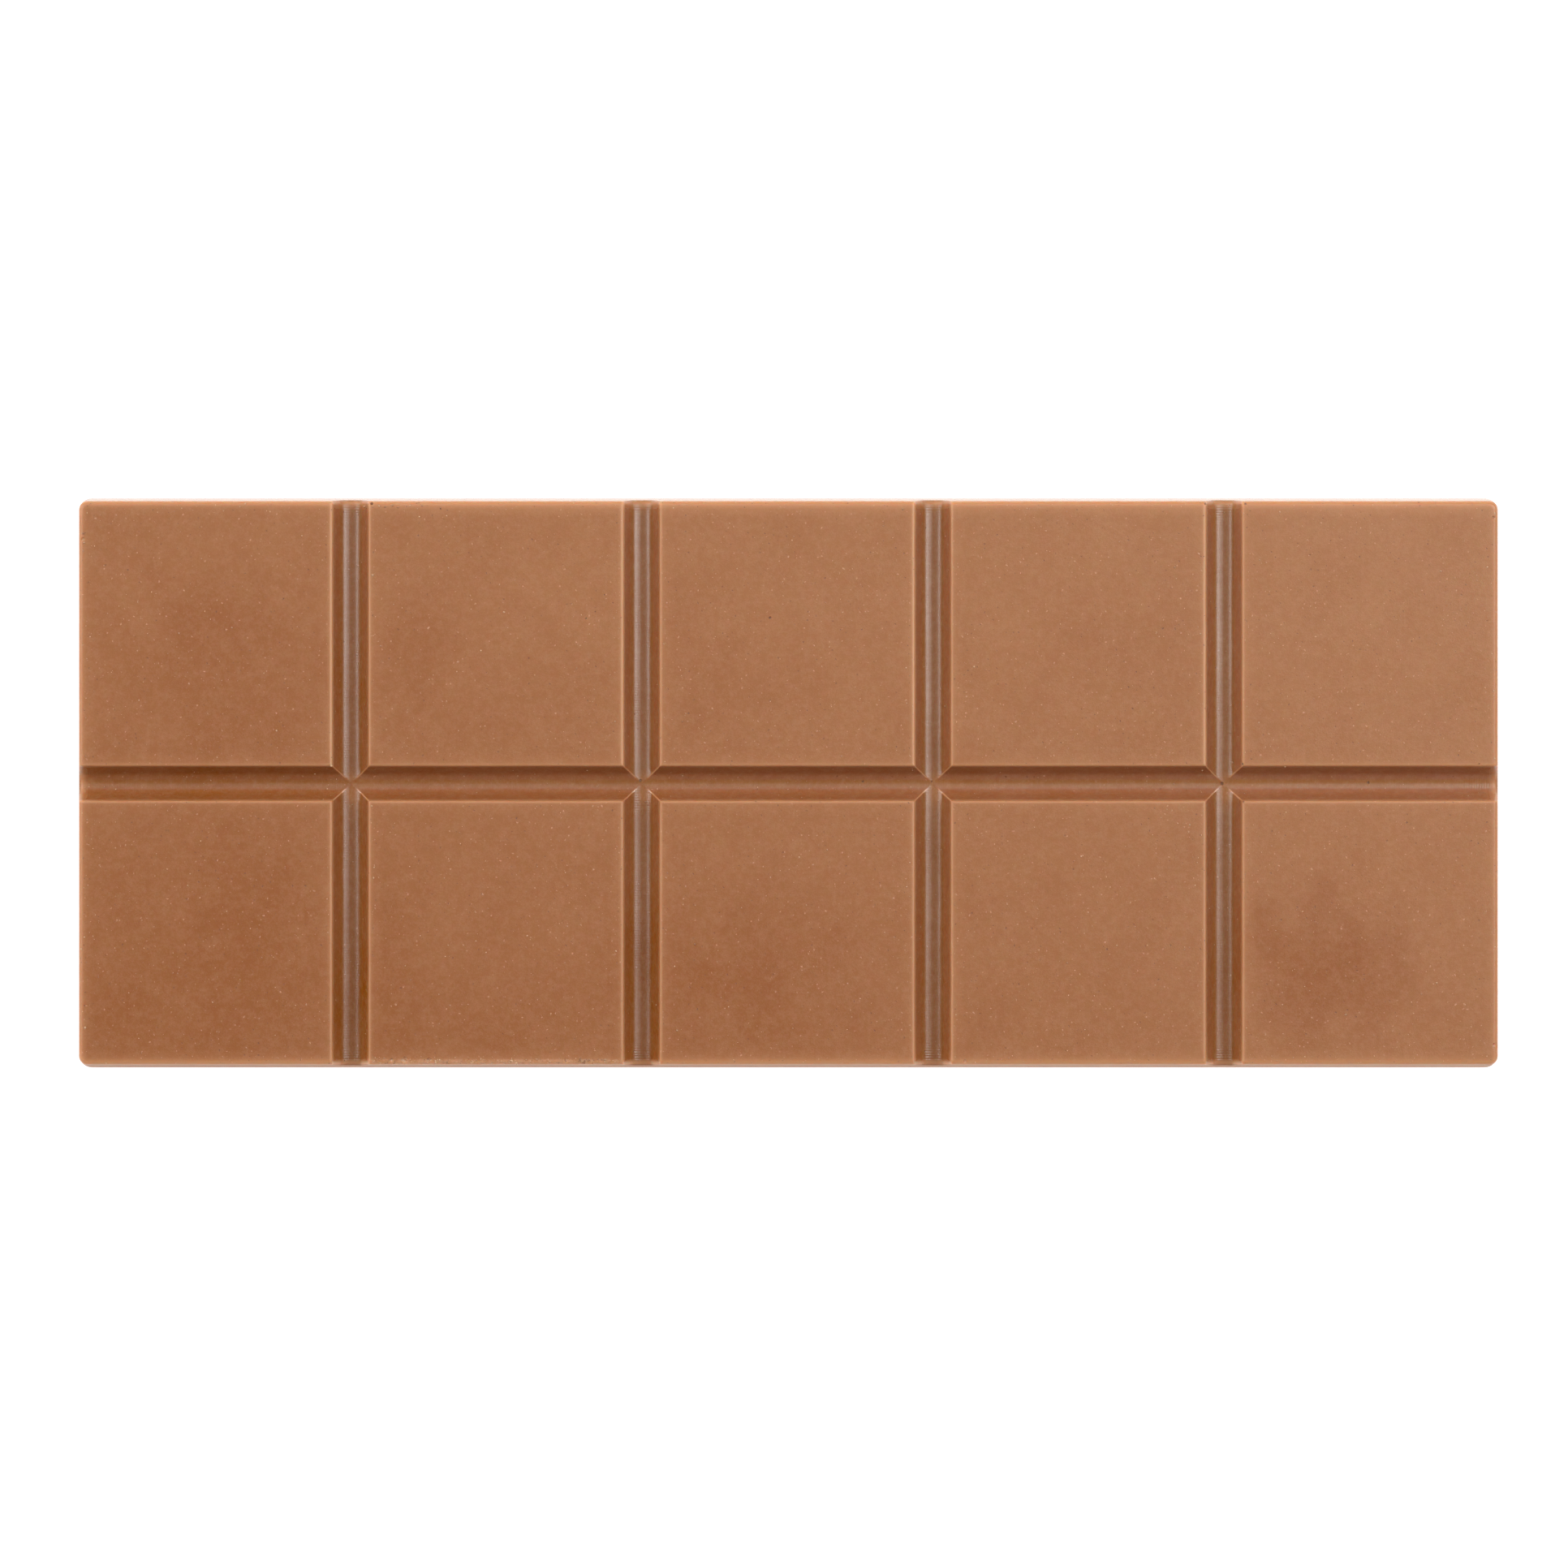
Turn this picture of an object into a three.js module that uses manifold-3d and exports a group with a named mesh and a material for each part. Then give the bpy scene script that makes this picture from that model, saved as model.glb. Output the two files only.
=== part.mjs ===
// A bar of milk chocolate: one moulded tablet of five by two squares, lying on its flat back.
//
// Frame: millimetres. X runs along the bar, Y across it and Z up. The origin is the middle of the
// flat back, so the bar stands on Z = 0 with its squares on top.
//
// The bar is one solid. A drafted slab with rounded corners is cut by one groove along X and four
// grooves along Y. A groove is drawn once, as a cross-section with straight steep walls, a round
// bottom and rounded lips. Where two grooves cross, their walls meet in four mitred edges.

import * as THREE from "three";
import { mergeVertices } from "three/addons/utils/BufferGeometryUtils.js";
import Module from "manifold-3d";

// Driving dimensions of the bar, in millimetres and degrees

const LENGTH = 120.0; // along X, at the top edge
const WIDTH = 47.7; // along Y, at the top edge
const THICKNESS = 7.0;
const COLUMNS = 5;
const ROWS = 2;
const COLUMN_PITCH = 24.62; // from one groove along Y to the next

const CORNER_RADIUS = 0.75; // the bar's four upright corners, seen from above
const TOP_EDGE_RADIUS = 0.4; // rounding between the squares and the sides
const BACK_EDGE_RADIUS = 0.35; // rounding between the sides and the flat back
const SIDE_DRAFT = 3.4; // the sides lean out towards the back by this angle

const GROOVE_WIDTH = 3.13; // between the walls, where they would meet the squares' tops
const GROOVE_WALL_SLOPE = 67.0; // of the walls, from the horizontal
const GROOVE_BOTTOM_RADIUS = 1.45;
const GROOVE_BOTTOM_HALF_WIDTH = 0.88; // where the round bottom meets the straight walls
const GROOVE_LIP_RADIUS = 0.2; // rounding between the walls and the squares' tops

// How finely the round stretches are divided

const CORNER_STEPS = 8;
const EDGE_STEPS = 6;
const LIP_STEPS = 6;
const BOTTOM_STEPS = 16;

const CUTTER_HEADROOM = 2.0; // how far a groove's cutter stands above the squares
const CUTTER_OVERRUN = 3.0; // how far it reaches past the sides

const radians = THREE.MathUtils.degToRad;

// The body before it is grooved

/** One level of the body: its height, and how far its outline lies outside the top edge's. */
function level(height, outset) {
  return { height, outset };
}

/** The sides' lean: how far the outline has moved out at a height, measured from the top edge. */
function draftOutset(height) {
  return (THICKNESS - TOP_EDGE_RADIUS - height) * Math.tan(radians(SIDE_DRAFT));
}

/** The levels from the flat back, round its edge, up the drafted sides and over the top edge. */
function bodyLevels() {
  const quarter = Math.PI / 2;
  const backOutset = draftOutset(BACK_EDGE_RADIUS);
  const levels = [];
  for (let i = 0; i <= EDGE_STEPS; i++) {
    const turn = (quarter * i) / EDGE_STEPS;
    levels.push(
      level(
        BACK_EDGE_RADIUS * (1 - Math.cos(turn)),
        backOutset - BACK_EDGE_RADIUS * (1 - Math.sin(turn)),
      ),
    );
  }
  for (let i = 0; i <= EDGE_STEPS; i++) {
    const turn = (quarter * i) / EDGE_STEPS;
    levels.push(
      level(
        THICKNESS - TOP_EDGE_RADIUS * (1 - Math.sin(turn)),
        -TOP_EDGE_RADIUS * (1 - Math.cos(turn)),
      ),
    );
  }
  return levels;
}

/** A rectangle with round corners, grown by an outset, as points that run anticlockwise. */
function outline(outset) {
  const centreX = LENGTH / 2 - CORNER_RADIUS;
  const centreY = WIDTH / 2 - CORNER_RADIUS;
  const radius = CORNER_RADIUS + outset;
  const corners = [
    [centreX, centreY],
    [-centreX, centreY],
    [-centreX, -centreY],
    [centreX, -centreY],
  ];
  return corners.flatMap(([x, y], corner) =>
    Array.from({ length: CORNER_STEPS + 1 }, (_, i) => {
      const turn = (Math.PI / 2) * (corner + i / CORNER_STEPS);
      return new THREE.Vector2(
        x + radius * Math.cos(turn),
        y + radius * Math.sin(turn),
      );
    }),
  );
}

/** The body as one closed surface: its outline at each level, joined by bands and two flat caps. */
function bodyGeometry() {
  const rings = bodyLevels().map(({ height, outset }) =>
    outline(outset).map((p) => new THREE.Vector3(p.x, p.y, height)),
  );
  const around = rings[0].length;
  const points = rings.flat();
  const backCentre = points.push(new THREE.Vector3(0, 0, 0)) - 1;
  const topCentre = points.push(new THREE.Vector3(0, 0, THICKNESS)) - 1;

  const faces = [];
  for (let i = 0; i < around; i++) {
    const next = (i + 1) % around;
    for (let ring = 0; ring < rings.length - 1; ring++) {
      const low = ring * around;
      const high = low + around;
      faces.push(low + i, low + next, high + next);
      faces.push(low + i, high + next, high + i);
    }
    const top = (rings.length - 1) * around;
    faces.push(backCentre, next, i);
    faces.push(topCentre, top + i, top + next);
  }
  return new THREE.BufferGeometry().setFromPoints(points).setIndex(faces);
}

// The grooves

/**
 * Half of a groove's cross-section, from the middle of its bottom to the top of its cutter. Each
 * point is a distance from the groove's middle and a height above the squares' tops, which is
 * negative inside the bar.
 */
function halfSection() {
  const slope = radians(GROOVE_WALL_SLOPE);
  const halfWidth = GROOVE_WIDTH / 2;
  const wallRun = halfWidth - GROOVE_BOTTOM_HALF_WIDTH;
  const bottomTurn = Math.asin(GROOVE_BOTTOM_HALF_WIDTH / GROOVE_BOTTOM_RADIUS);
  const bottomCentre =
    -wallRun * Math.tan(slope) + GROOVE_BOTTOM_RADIUS * Math.cos(bottomTurn);
  const lipCentre = halfWidth + GROOVE_LIP_RADIUS * Math.tan(slope / 2);

  const points = [];
  for (let i = 0; i <= BOTTOM_STEPS / 2; i++) {
    const turn = (bottomTurn * i) / (BOTTOM_STEPS / 2);
    points.push(
      new THREE.Vector2(
        GROOVE_BOTTOM_RADIUS * Math.sin(turn),
        bottomCentre - GROOVE_BOTTOM_RADIUS * Math.cos(turn),
      ),
    );
  }
  for (let i = 0; i <= LIP_STEPS; i++) {
    const turn = slope * (1 - i / LIP_STEPS);
    points.push(
      new THREE.Vector2(
        lipCentre - GROOVE_LIP_RADIUS * Math.sin(turn),
        -GROOVE_LIP_RADIUS * (1 - Math.cos(turn)),
      ),
    );
  }
  points.push(new THREE.Vector2(lipCentre, CUTTER_HEADROOM));
  return points;
}

/** A bar of the groove's section, lying along Y at the squares' tops and centred on X = 0. */
function grooveCutter(length) {
  const right = halfSection();
  const left = right
    .slice(1)
    .reverse()
    .map((p) => new THREE.Vector2(-p.x, p.y));
  const section = new THREE.Shape([...left, ...right]);
  return new THREE.ExtrudeGeometry(section, {
    depth: length,
    bevelEnabled: false,
  })
    .translate(0, 0, -length / 2)
    .rotateX(Math.PI / 2)
    .translate(0, 0, THICKNESS);
}

/** Evenly spaced positions about zero of the grooves that part a number of squares. */
function groovePlaces(squares, pitch) {
  return Array.from(
    { length: squares - 1 },
    (_, i) => (i - (squares - 2) / 2) * pitch,
  );
}

/** Every groove's cutter: one for each line between columns, then one for each between rows. */
function grooveCutters() {
  const between = groovePlaces(COLUMNS, COLUMN_PITCH).map((x) =>
    grooveCutter(WIDTH + 2 * CUTTER_OVERRUN).translate(x, 0, 0),
  );
  const along = groovePlaces(ROWS, WIDTH / ROWS).map((y) =>
    grooveCutter(LENGTH + 2 * CUTTER_OVERRUN)
      .rotateZ(Math.PI / 2)
      .translate(0, y, 0),
  );
  return [...between, ...along];
}

// Solids for cutting

const wasm = await Module();
wasm.setup();

/** A closed geometry as a solid that can be cut. */
function solidOf(geometry) {
  const bare = geometry.clone();
  bare.deleteAttribute("normal");
  bare.deleteAttribute("uv");
  const merged = mergeVertices(bare);
  return new wasm.Manifold(
    new wasm.Mesh({
      numProp: 3,
      vertProperties: new Float32Array(merged.attributes.position.array),
      triVerts: new Uint32Array(merged.index.array),
    }),
  );
}

/** A solid as a geometry that can be drawn, with one normal for each flat face. */
function geometryOf(solid) {
  const { vertProperties, triVerts } = solid.getMesh();
  const indexed = new THREE.BufferGeometry()
    .setAttribute("position", new THREE.BufferAttribute(vertProperties, 3))
    .setIndex(new THREE.BufferAttribute(triVerts, 1));
  const geometry = indexed.toNonIndexed();
  geometry.computeVertexNormals();
  return geometry;
}

/** The bar: the body with every groove cut from it. */
function barGeometry() {
  const body = solidOf(bodyGeometry());
  return geometryOf(
    grooveCutters().reduce((bar, cutter) => bar.subtract(solidOf(cutter)), body),
  );
}

const chocolate = new THREE.MeshStandardMaterial({
  name: "milk_chocolate",
  color: 0xab7350,
  roughness: 0.45,
  metalness: 0.0,
});

const bar = new THREE.Mesh(barGeometry(), chocolate);
bar.name = "bar";

const chocolateBar = new THREE.Group();
chocolateBar.name = "chocolate_bar";
chocolateBar.add(bar);

export default chocolateBar;
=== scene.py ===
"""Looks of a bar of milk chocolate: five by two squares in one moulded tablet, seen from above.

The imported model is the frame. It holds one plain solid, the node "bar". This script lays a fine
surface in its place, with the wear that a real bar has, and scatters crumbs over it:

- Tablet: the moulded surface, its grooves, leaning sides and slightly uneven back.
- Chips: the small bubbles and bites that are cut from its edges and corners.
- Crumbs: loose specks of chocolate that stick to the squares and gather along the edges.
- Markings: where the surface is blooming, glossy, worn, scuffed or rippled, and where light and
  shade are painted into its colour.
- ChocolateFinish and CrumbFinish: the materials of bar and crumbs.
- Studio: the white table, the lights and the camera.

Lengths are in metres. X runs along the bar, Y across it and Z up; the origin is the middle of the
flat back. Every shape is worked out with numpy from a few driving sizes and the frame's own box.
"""

import logging
import math
from dataclasses import dataclass, field
from enum import Enum

import bpy
import numpy as np
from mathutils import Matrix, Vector

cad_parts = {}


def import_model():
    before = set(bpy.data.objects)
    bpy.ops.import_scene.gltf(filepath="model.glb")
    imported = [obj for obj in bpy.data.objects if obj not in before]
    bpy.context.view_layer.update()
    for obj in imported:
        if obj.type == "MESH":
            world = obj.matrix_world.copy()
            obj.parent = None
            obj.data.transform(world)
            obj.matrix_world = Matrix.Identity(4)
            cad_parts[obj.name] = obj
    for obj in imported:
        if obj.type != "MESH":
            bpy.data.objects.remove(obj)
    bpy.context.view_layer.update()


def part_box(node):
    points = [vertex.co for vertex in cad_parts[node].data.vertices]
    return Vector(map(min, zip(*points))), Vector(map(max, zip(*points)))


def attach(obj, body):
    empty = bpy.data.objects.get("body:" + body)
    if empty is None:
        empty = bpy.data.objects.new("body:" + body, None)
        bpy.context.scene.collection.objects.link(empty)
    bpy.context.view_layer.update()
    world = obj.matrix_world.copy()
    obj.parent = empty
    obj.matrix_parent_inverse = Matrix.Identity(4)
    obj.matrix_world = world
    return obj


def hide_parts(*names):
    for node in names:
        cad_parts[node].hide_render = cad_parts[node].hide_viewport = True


log = logging.getLogger("chocolate_bar")

MM = 0.001
NODE = "bar"
BODY = "root"

WORN_EDGE = (-35.2 * MM, -14.6 * MM)  # where the front edge is ragged, along the bar


# Shapes shared by several pieces


@dataclass(frozen=True)
class Fade:
    """A soft change from 0 at one value to 1 at another, which may be the smaller of the two.

    Attributes:
        none: Value at which it is 0.
        full: Value at which it is 1.
    """

    none: float
    full: float

    def at(self, value: np.ndarray) -> np.ndarray:
        """Three t squared less two t cubed, where t runs from 0 to 1 between the two values."""
        t = np.clip((value - self.none) / (self.full - self.none), 0, 1)
        return t * t * (3 - 2 * t)


@dataclass(frozen=True)
class Swell:
    """Smooth random relief with no grid: the sum of plane cosine waves.

    Each wave has a random direction, phase and rate. The sum is scaled by the root of two over the
    number of waves, so that its spread is about one, and then by the height.

    Attributes:
        length: Typical distance from crest to crest.
        seed: Seed of the random draw.
        height: Typical height, in any unit.
        waves: How many waves are added up.
        rates: The slowest and fastest wave, where one of the typical length has a rate of one.
    """

    length: float
    seed: int
    height: float = 1.0
    waves: int = 24
    rates: tuple[float, float] = (0.6, 1.5)

    def at(self, flat: np.ndarray) -> np.ndarray:
        """The relief's height at places on the plane.

        Args:
            flat: Places, with X and Y on the last axis.

        Returns:
            One height a place.
        """
        rng = np.random.default_rng(self.seed)
        direction = rng.normal(size=(self.waves, flat.shape[-1]))
        direction /= np.linalg.norm(direction, axis=1, keepdims=True)
        rate = 2 * np.pi / self.length * rng.uniform(*self.rates, (self.waves, 1))
        phase = rng.uniform(0, 2 * np.pi, self.waves)
        total = np.cos(flat @ (direction * rate).T + phase).sum(-1)
        return self.height * (total * math.sqrt(2 / self.waves))


def mesh_object(name: str, vertices: np.ndarray, triangles: np.ndarray) -> bpy.types.Object:
    """Puts a triangle mesh into the scene as a smooth-shaded object at the origin.

    Args:
        name: The object's name.
        vertices: Vertex places in metres, one a row.
        triangles: Three vertex numbers a row, anticlockwise seen from outside.

    Returns:
        The new object.
    """
    mesh = bpy.data.meshes.new(name)
    mesh.vertices.add(len(vertices))
    mesh.vertices.foreach_set("co", np.asarray(vertices, np.float32).ravel())
    mesh.loops.add(triangles.size)
    mesh.loops.foreach_set("vertex_index", np.asarray(triangles, np.int32).ravel())
    mesh.polygons.add(len(triangles))
    mesh.polygons.foreach_set("loop_start", np.arange(0, triangles.size, 3, dtype=np.int32))
    mesh.polygons.foreach_set("use_smooth", np.ones(len(triangles), bool))
    mesh.update(calc_edges=True)
    mesh.validate()
    made = bpy.data.objects.new(name, mesh)
    bpy.context.scene.collection.objects.link(made)
    return made


def vertex_places(mesh: bpy.types.Mesh) -> np.ndarray:
    """A mesh's vertex places, one a row.

    Args:
        mesh: The mesh.

    Returns:
        X, Y and Z in metres.
    """
    flat = np.empty(len(mesh.vertices) * 3, np.float32)
    mesh.vertices.foreach_get("co", flat)
    return flat.reshape(-1, 3).astype(float)


class Mark(Enum):
    """What a mesh holds as one number a vertex, for a material to read."""

    # Bloom, with a slope of painted light over the bar: paler towards the back right.
    BLOOM_AND_LIGHT = "bloom"
    # The mould's gloss, and painted shade, in the grooves and on the sides.
    POLISH_AND_SHADE = "polish_and_shade"
    BACK = "back"
    # Dull groove ends, with painted glow.
    DULL_GLOWING_END = "end"
    # Painted sheen on the grooves' walls.
    WALL_SHEEN = "wall"
    # Wear, with painted highlight and glow on the lips, the ridges and the front edge.
    WEAR_AND_HIGHLIGHT = "worn"
    SCUFFED = "scuffed"
    # Painted glow along the outer edge and beside the lips.
    RIM_GLOW = "rim"
    BROKEN = "broken"
    # Painted shade inside deep burst bubbles.
    SHADED_HOLLOW = "hollow"
    RIPPLE_ACROSS = "ripple_across"
    RIPPLE_ALONG = "ripple_along"


def set_mark(mesh: bpy.types.Mesh, mark: Mark, values: np.ndarray) -> None:
    """Writes one number a vertex into a mesh."""
    attribute = mesh.attributes.new(mark.value, "FLOAT", "POINT")
    attribute.data.foreach_set("value", np.asarray(values, np.float32))


@dataclass(frozen=True)
class Pebbles:
    """Small lumpy closed shapes, all alike in their faces, made as one array.

    A pebble is a ball on a grid of latitudes and longitudes. Its radius is one plus a random part
    for each grid point, and the ball is squashed upright and turned about Z.

    Attributes:
        rings: Latitudes between the two poles.
        sectors: Longitudes.
        lumpiness: Largest share by which a point moves in or out.
    """

    rings: int = 2
    sectors: int = 5
    lumpiness: float = 0.3

    def ball(self) -> tuple[np.ndarray, np.ndarray]:
        """The unit ball: (sin t cos p, sin t sin p, cos t) at latitude t and longitude p.

        Returns:
            Its points, poles last, and its triangles.
        """
        latitude = np.pi * np.arange(1, self.rings + 1) / (self.rings + 1)
        longitude = 2 * np.pi * np.arange(self.sectors) / self.sectors
        theta, phi = (a.ravel() for a in np.meshgrid(latitude, longitude, indexing="ij"))
        ring_points = np.stack(
            [np.sin(theta) * np.cos(phi), np.sin(theta) * np.sin(phi), np.cos(theta)], axis=-1
        )
        points = np.vstack([ring_points, [[0, 0, 1], [0, 0, -1]]])

        this = np.arange(self.sectors)
        after = (this + 1) % self.sectors
        rows = np.arange(self.rings - 1)[:, None] * self.sectors
        a, b = (rows + this).ravel(), (rows + after).ravel()
        c, d = a + self.sectors, b + self.sectors
        last = (self.rings - 1) * self.sectors
        north = np.full(self.sectors, len(ring_points))
        south = north + 1
        triangles = np.vstack(
            [
                np.stack([a, c, d], axis=-1),
                np.stack([a, d, b], axis=-1),
                np.stack([north, this, after], axis=-1),
                np.stack([south, last + after, last + this], axis=-1),
            ]
        )
        return points, triangles

    def scattered(
        self, centres: np.ndarray, sizes: np.ndarray, rng: np.random.Generator, swing: float = np.pi
    ) -> tuple[np.ndarray, np.ndarray]:
        """Pebbles at given places.

        Args:
            centres: Middle of each pebble, one a row, in metres.
            sizes: Half sizes along X, Y and Z before the turn, one pebble a row, in metres.
            rng: Source of the random draws.
            swing: Largest turn about Z, either way.

        Returns:
            All vertices and all triangles.
        """
        points, triangles = self.ball()
        count = len(centres)
        lumps = 1 + self.lumpiness * rng.uniform(-1, 1, (count, len(points), 1))
        local = points * lumps * sizes[:, None, :]
        turn = rng.uniform(-swing, swing, count)[:, None]
        cosine, sine = np.cos(turn), np.sin(turn)
        x, y = local[..., 0], local[..., 1]
        turned = np.stack([x * cosine - y * sine, x * sine + y * cosine, local[..., 2]], axis=-1)
        vertices = (turned + centres[:, None, :]).reshape(-1, 3)
        faces = triangles + (np.arange(count) * len(points))[:, None, None]
        return vertices, faces.reshape(-1, 3)


# The moulded bar


@dataclass(frozen=True)
class GrooveSection:
    """The cross-section that all grooves share: a round bottom, steep walls and rounded lips.

    Attributes:
        half_width: From the middle to where a wall would meet the squares' tops.
        slope: The walls' angle from the horizontal.
        bottom_half_width: From the middle to where the round bottom meets a wall.
        bottom_radius: Radius of the round bottom.
        lip_radius: Radius between a wall and a square's top.
        bottom_cells: Grid cells across half of the bottom.
        wall_cells: Grid cells up a wall.
        lip_cells: Grid cells round a lip.
        beside: Further grid lines on the squares, measured from where they begin.
    """

    half_width: float = 1.565 * MM
    slope: float = math.radians(67.0)
    bottom_half_width: float = 0.88 * MM
    bottom_radius: float = 1.45 * MM
    lip_radius: float = 0.2 * MM
    bottom_cells: int = 8
    wall_cells: int = 5
    lip_cells: int = 7
    beside: tuple[float, ...] = (0.12 * MM, 0.34 * MM)

    @property
    def reach(self) -> float:
        """Distance from the middle at which the squares' flat tops begin."""
        return self.half_width + self.lip_radius * math.tan(self.slope / 2)

    @property
    def lip_start(self) -> float:
        """Distance from the middle at which a wall turns into its lip."""
        return self.reach - self.lip_radius * math.sin(self.slope)

    def depth(self, distance: np.ndarray) -> np.ndarray:
        """Depth below the squares' tops at a distance from the middle.

        Bottom: the wall's foot plus the arc's height, root(R^2 - d^2) less its value at the foot.
        Wall: (half width - d) times the slope's tangent. Lip: r - root(r^2 - (reach - d)^2).

        Args:
            distance: Distances from the groove's middle, either sign.

        Returns:
            Depths, from the full depth at the middle to 0 beyond the lip.
        """
        d = np.abs(distance)
        rise = math.tan(self.slope)
        foot = (self.half_width - self.bottom_half_width) * rise
        foot_level = math.sqrt(self.bottom_radius**2 - self.bottom_half_width**2)
        bottom = foot + np.sqrt(np.maximum(self.bottom_radius**2 - d**2, 0)) - foot_level
        wall = (self.half_width - d) * rise
        into_lip = np.clip(self.reach - d, 0, self.lip_radius)
        lip = self.lip_radius - np.sqrt(self.lip_radius**2 - into_lip**2)
        return np.where(
            d < self.bottom_half_width, bottom, np.where(d < self.lip_start, wall, lip)
        )

    def stations(self) -> np.ndarray:
        """The grid lines that a groove needs, dense where it bends.

        Returns:
            Their distances from its middle, rising, on both sides.
        """
        bottom = np.linspace(0, self.bottom_half_width, self.bottom_cells + 1)
        wall = np.linspace(self.bottom_half_width, self.lip_start, self.wall_cells + 1)[1:]
        turn = np.linspace(self.slope, 0, self.lip_cells + 1)[1:]
        lip = self.reach - self.lip_radius * np.sin(turn)
        half = np.concatenate([bottom, wall, lip, self.reach + np.array(self.beside)])
        return np.concatenate([-half[:0:-1], half])


@dataclass
class Tablet:
    """The moulded bar, as one closed surface on a grid that is dense at grooves and edges.

    Grid places u and v are X and Y everywhere but near the rim, which plan bends round.

    Attributes:
        box: The CAD solid's lowest and highest corners.
        columns: Squares along the bar.
        column_pitch: From one groove across the bar to the next.
        side_draft: The sides' lean from upright.
        corner_radius: Of the four upright corners, at the top edge.
        top_edge_radius: Between the squares and the sides.
        back_edge_radius: Between the sides and the back.
        section: The grooves' cross-section.
        groove_shift: How far the whole set of grooves lies off the middle, along the bar.
        row_shift: How far the groove between the rows lies off the middle, across the bar.
        row_width: Its width, where that of the others is one.
        spacing: Largest grid cell on a square.
        cell_slack: Share of a cell by which a stretch may be longer before it gets one more.
        corner_lines: Grid lines beside the outline, in corner radii from it.
        edge_cells: Grid cells round an edge.
        wall_levels: Grid cells down a side.
        face_swell: The squares' faint unevenness.
        face_sink: How far their mean height lies below the CAD's.
        wander: How far edges and grooves wander from straight, along X and along Y.
        back_relief: Typical height of the back's unevenness.
        back_swell: Its shape. The height is the typical one times exp(this swell).
        back_rise: Distance inwards over which it begins.
    """

    box: tuple[Vector, Vector]
    columns: int = 5
    column_pitch: float = 24.62 * MM
    side_draft: float = math.radians(3.4)
    corner_radius: float = 0.75 * MM
    top_edge_radius: float = 0.4 * MM
    back_edge_radius: float = 0.35 * MM
    section: GrooveSection = field(default_factory=GrooveSection)
    groove_shift: float = -0.10 * MM
    row_shift: float = -0.05 * MM
    row_width: float = 0.955
    spacing: float = 0.8 * MM
    cell_slack: float = 0.01
    corner_lines: tuple[float, ...] = (1.8, 1.0, 0.75)
    edge_cells: int = 8
    wall_levels: int = 8
    face_swell: Swell = Swell(9.0 * MM, seed=11, height=0.008 * MM)
    face_sink: float = 0.016 * MM
    wander: tuple[Swell, Swell] = (
        Swell(7.0 * MM, seed=12, height=0.004 * MM),
        Swell(7.0 * MM, seed=13, height=0.004 * MM),
    )
    back_relief: float = 0.03 * MM
    back_swell: Swell = Swell(14.0 * MM, seed=21, height=0.5)
    back_rise: Fade = Fade(0.0, 3.0 * MM)

    def __post_init__(self) -> None:
        """Works out the top edge's half sizes from the CAD box, which the back edge sets."""
        low, high = self.box
        self.thickness = high.z - low.z
        outset = self.outset_at(self.back_edge_radius)
        self.half = np.array([(high.x - low.x) / 2 - outset, (high.y - low.y) / 2 - outset])

    def outset_at(self, height: float | np.ndarray) -> float | np.ndarray:
        """How far the leaning side stands outside the top edge's outline at a height."""
        return (self.thickness - self.top_edge_radius - height) * math.tan(self.side_draft)

    def groove_places(self) -> np.ndarray:
        """Where the grooves across the bar cross its length."""
        number = np.arange(self.columns - 1)
        return (number - (self.columns - 2) / 2) * self.column_pitch + self.groove_shift

    def from_row(self, v: np.ndarray) -> np.ndarray:
        """Distance from the row groove's middle, stretched as if it were as wide as the others."""
        return (v - self.row_shift) / self.row_width

    def groove_depth(self, u: np.ndarray, v: np.ndarray) -> np.ndarray:
        """Depth of the moulded relief: the deeper of the nearest groove each way."""
        across = np.abs(u[..., None] - self.groove_places()).min(-1)
        return np.maximum(self.section.depth(across), self.section.depth(self.from_row(v)))

    def lines(self, half: float, middles: np.ndarray, width: float = 1.0) -> np.ndarray:
        """Grid lines along one axis.

        Args:
            half: Half of the top edge's size along the axis.
            middles: Where grooves lie on the axis.
            width: Those grooves' width, where that of the section is one.

        Returns:
            Rising places: each groove's stations, an arc's steps at both edges, and even steps.
        """
        turn = np.linspace(0, np.pi / 2, self.edge_cells + 1)
        edge = half - self.top_edge_radius * (1 - np.sin(turn))
        rim = np.append(half - self.corner_radius * np.array(self.corner_lines), edge)
        grooves = (middles[:, None] + width * self.section.stations()).ravel()
        fixed = np.sort(np.concatenate([-rim, rim, grooves]))
        steps = np.ceil(np.diff(fixed) / self.spacing - self.cell_slack).astype(int)
        runs = [
            np.linspace(start, end, count, endpoint=False)
            for start, end, count in zip(fixed[:-1], fixed[1:], steps)
        ]
        return np.append(np.concatenate(runs), fixed[-1])

    def corner_shares(self, u: np.ndarray, v: np.ndarray) -> tuple[np.ndarray, np.ndarray]:
        """Nearness of a place to an end and to a long side: 0 a corner radius away, 1 at it.

        Args:
            u: Grid places along the bar.
            v: Grid places across it.

        Returns:
            The share p towards an end and the share q towards a long side.
        """
        core_x, core_y = self.half - self.corner_radius
        p = np.clip((np.abs(u) - core_x) / self.corner_radius, 0, 1)
        q = np.clip((np.abs(v) - core_y) / self.corner_radius, 0, 1)
        return p, q

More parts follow.
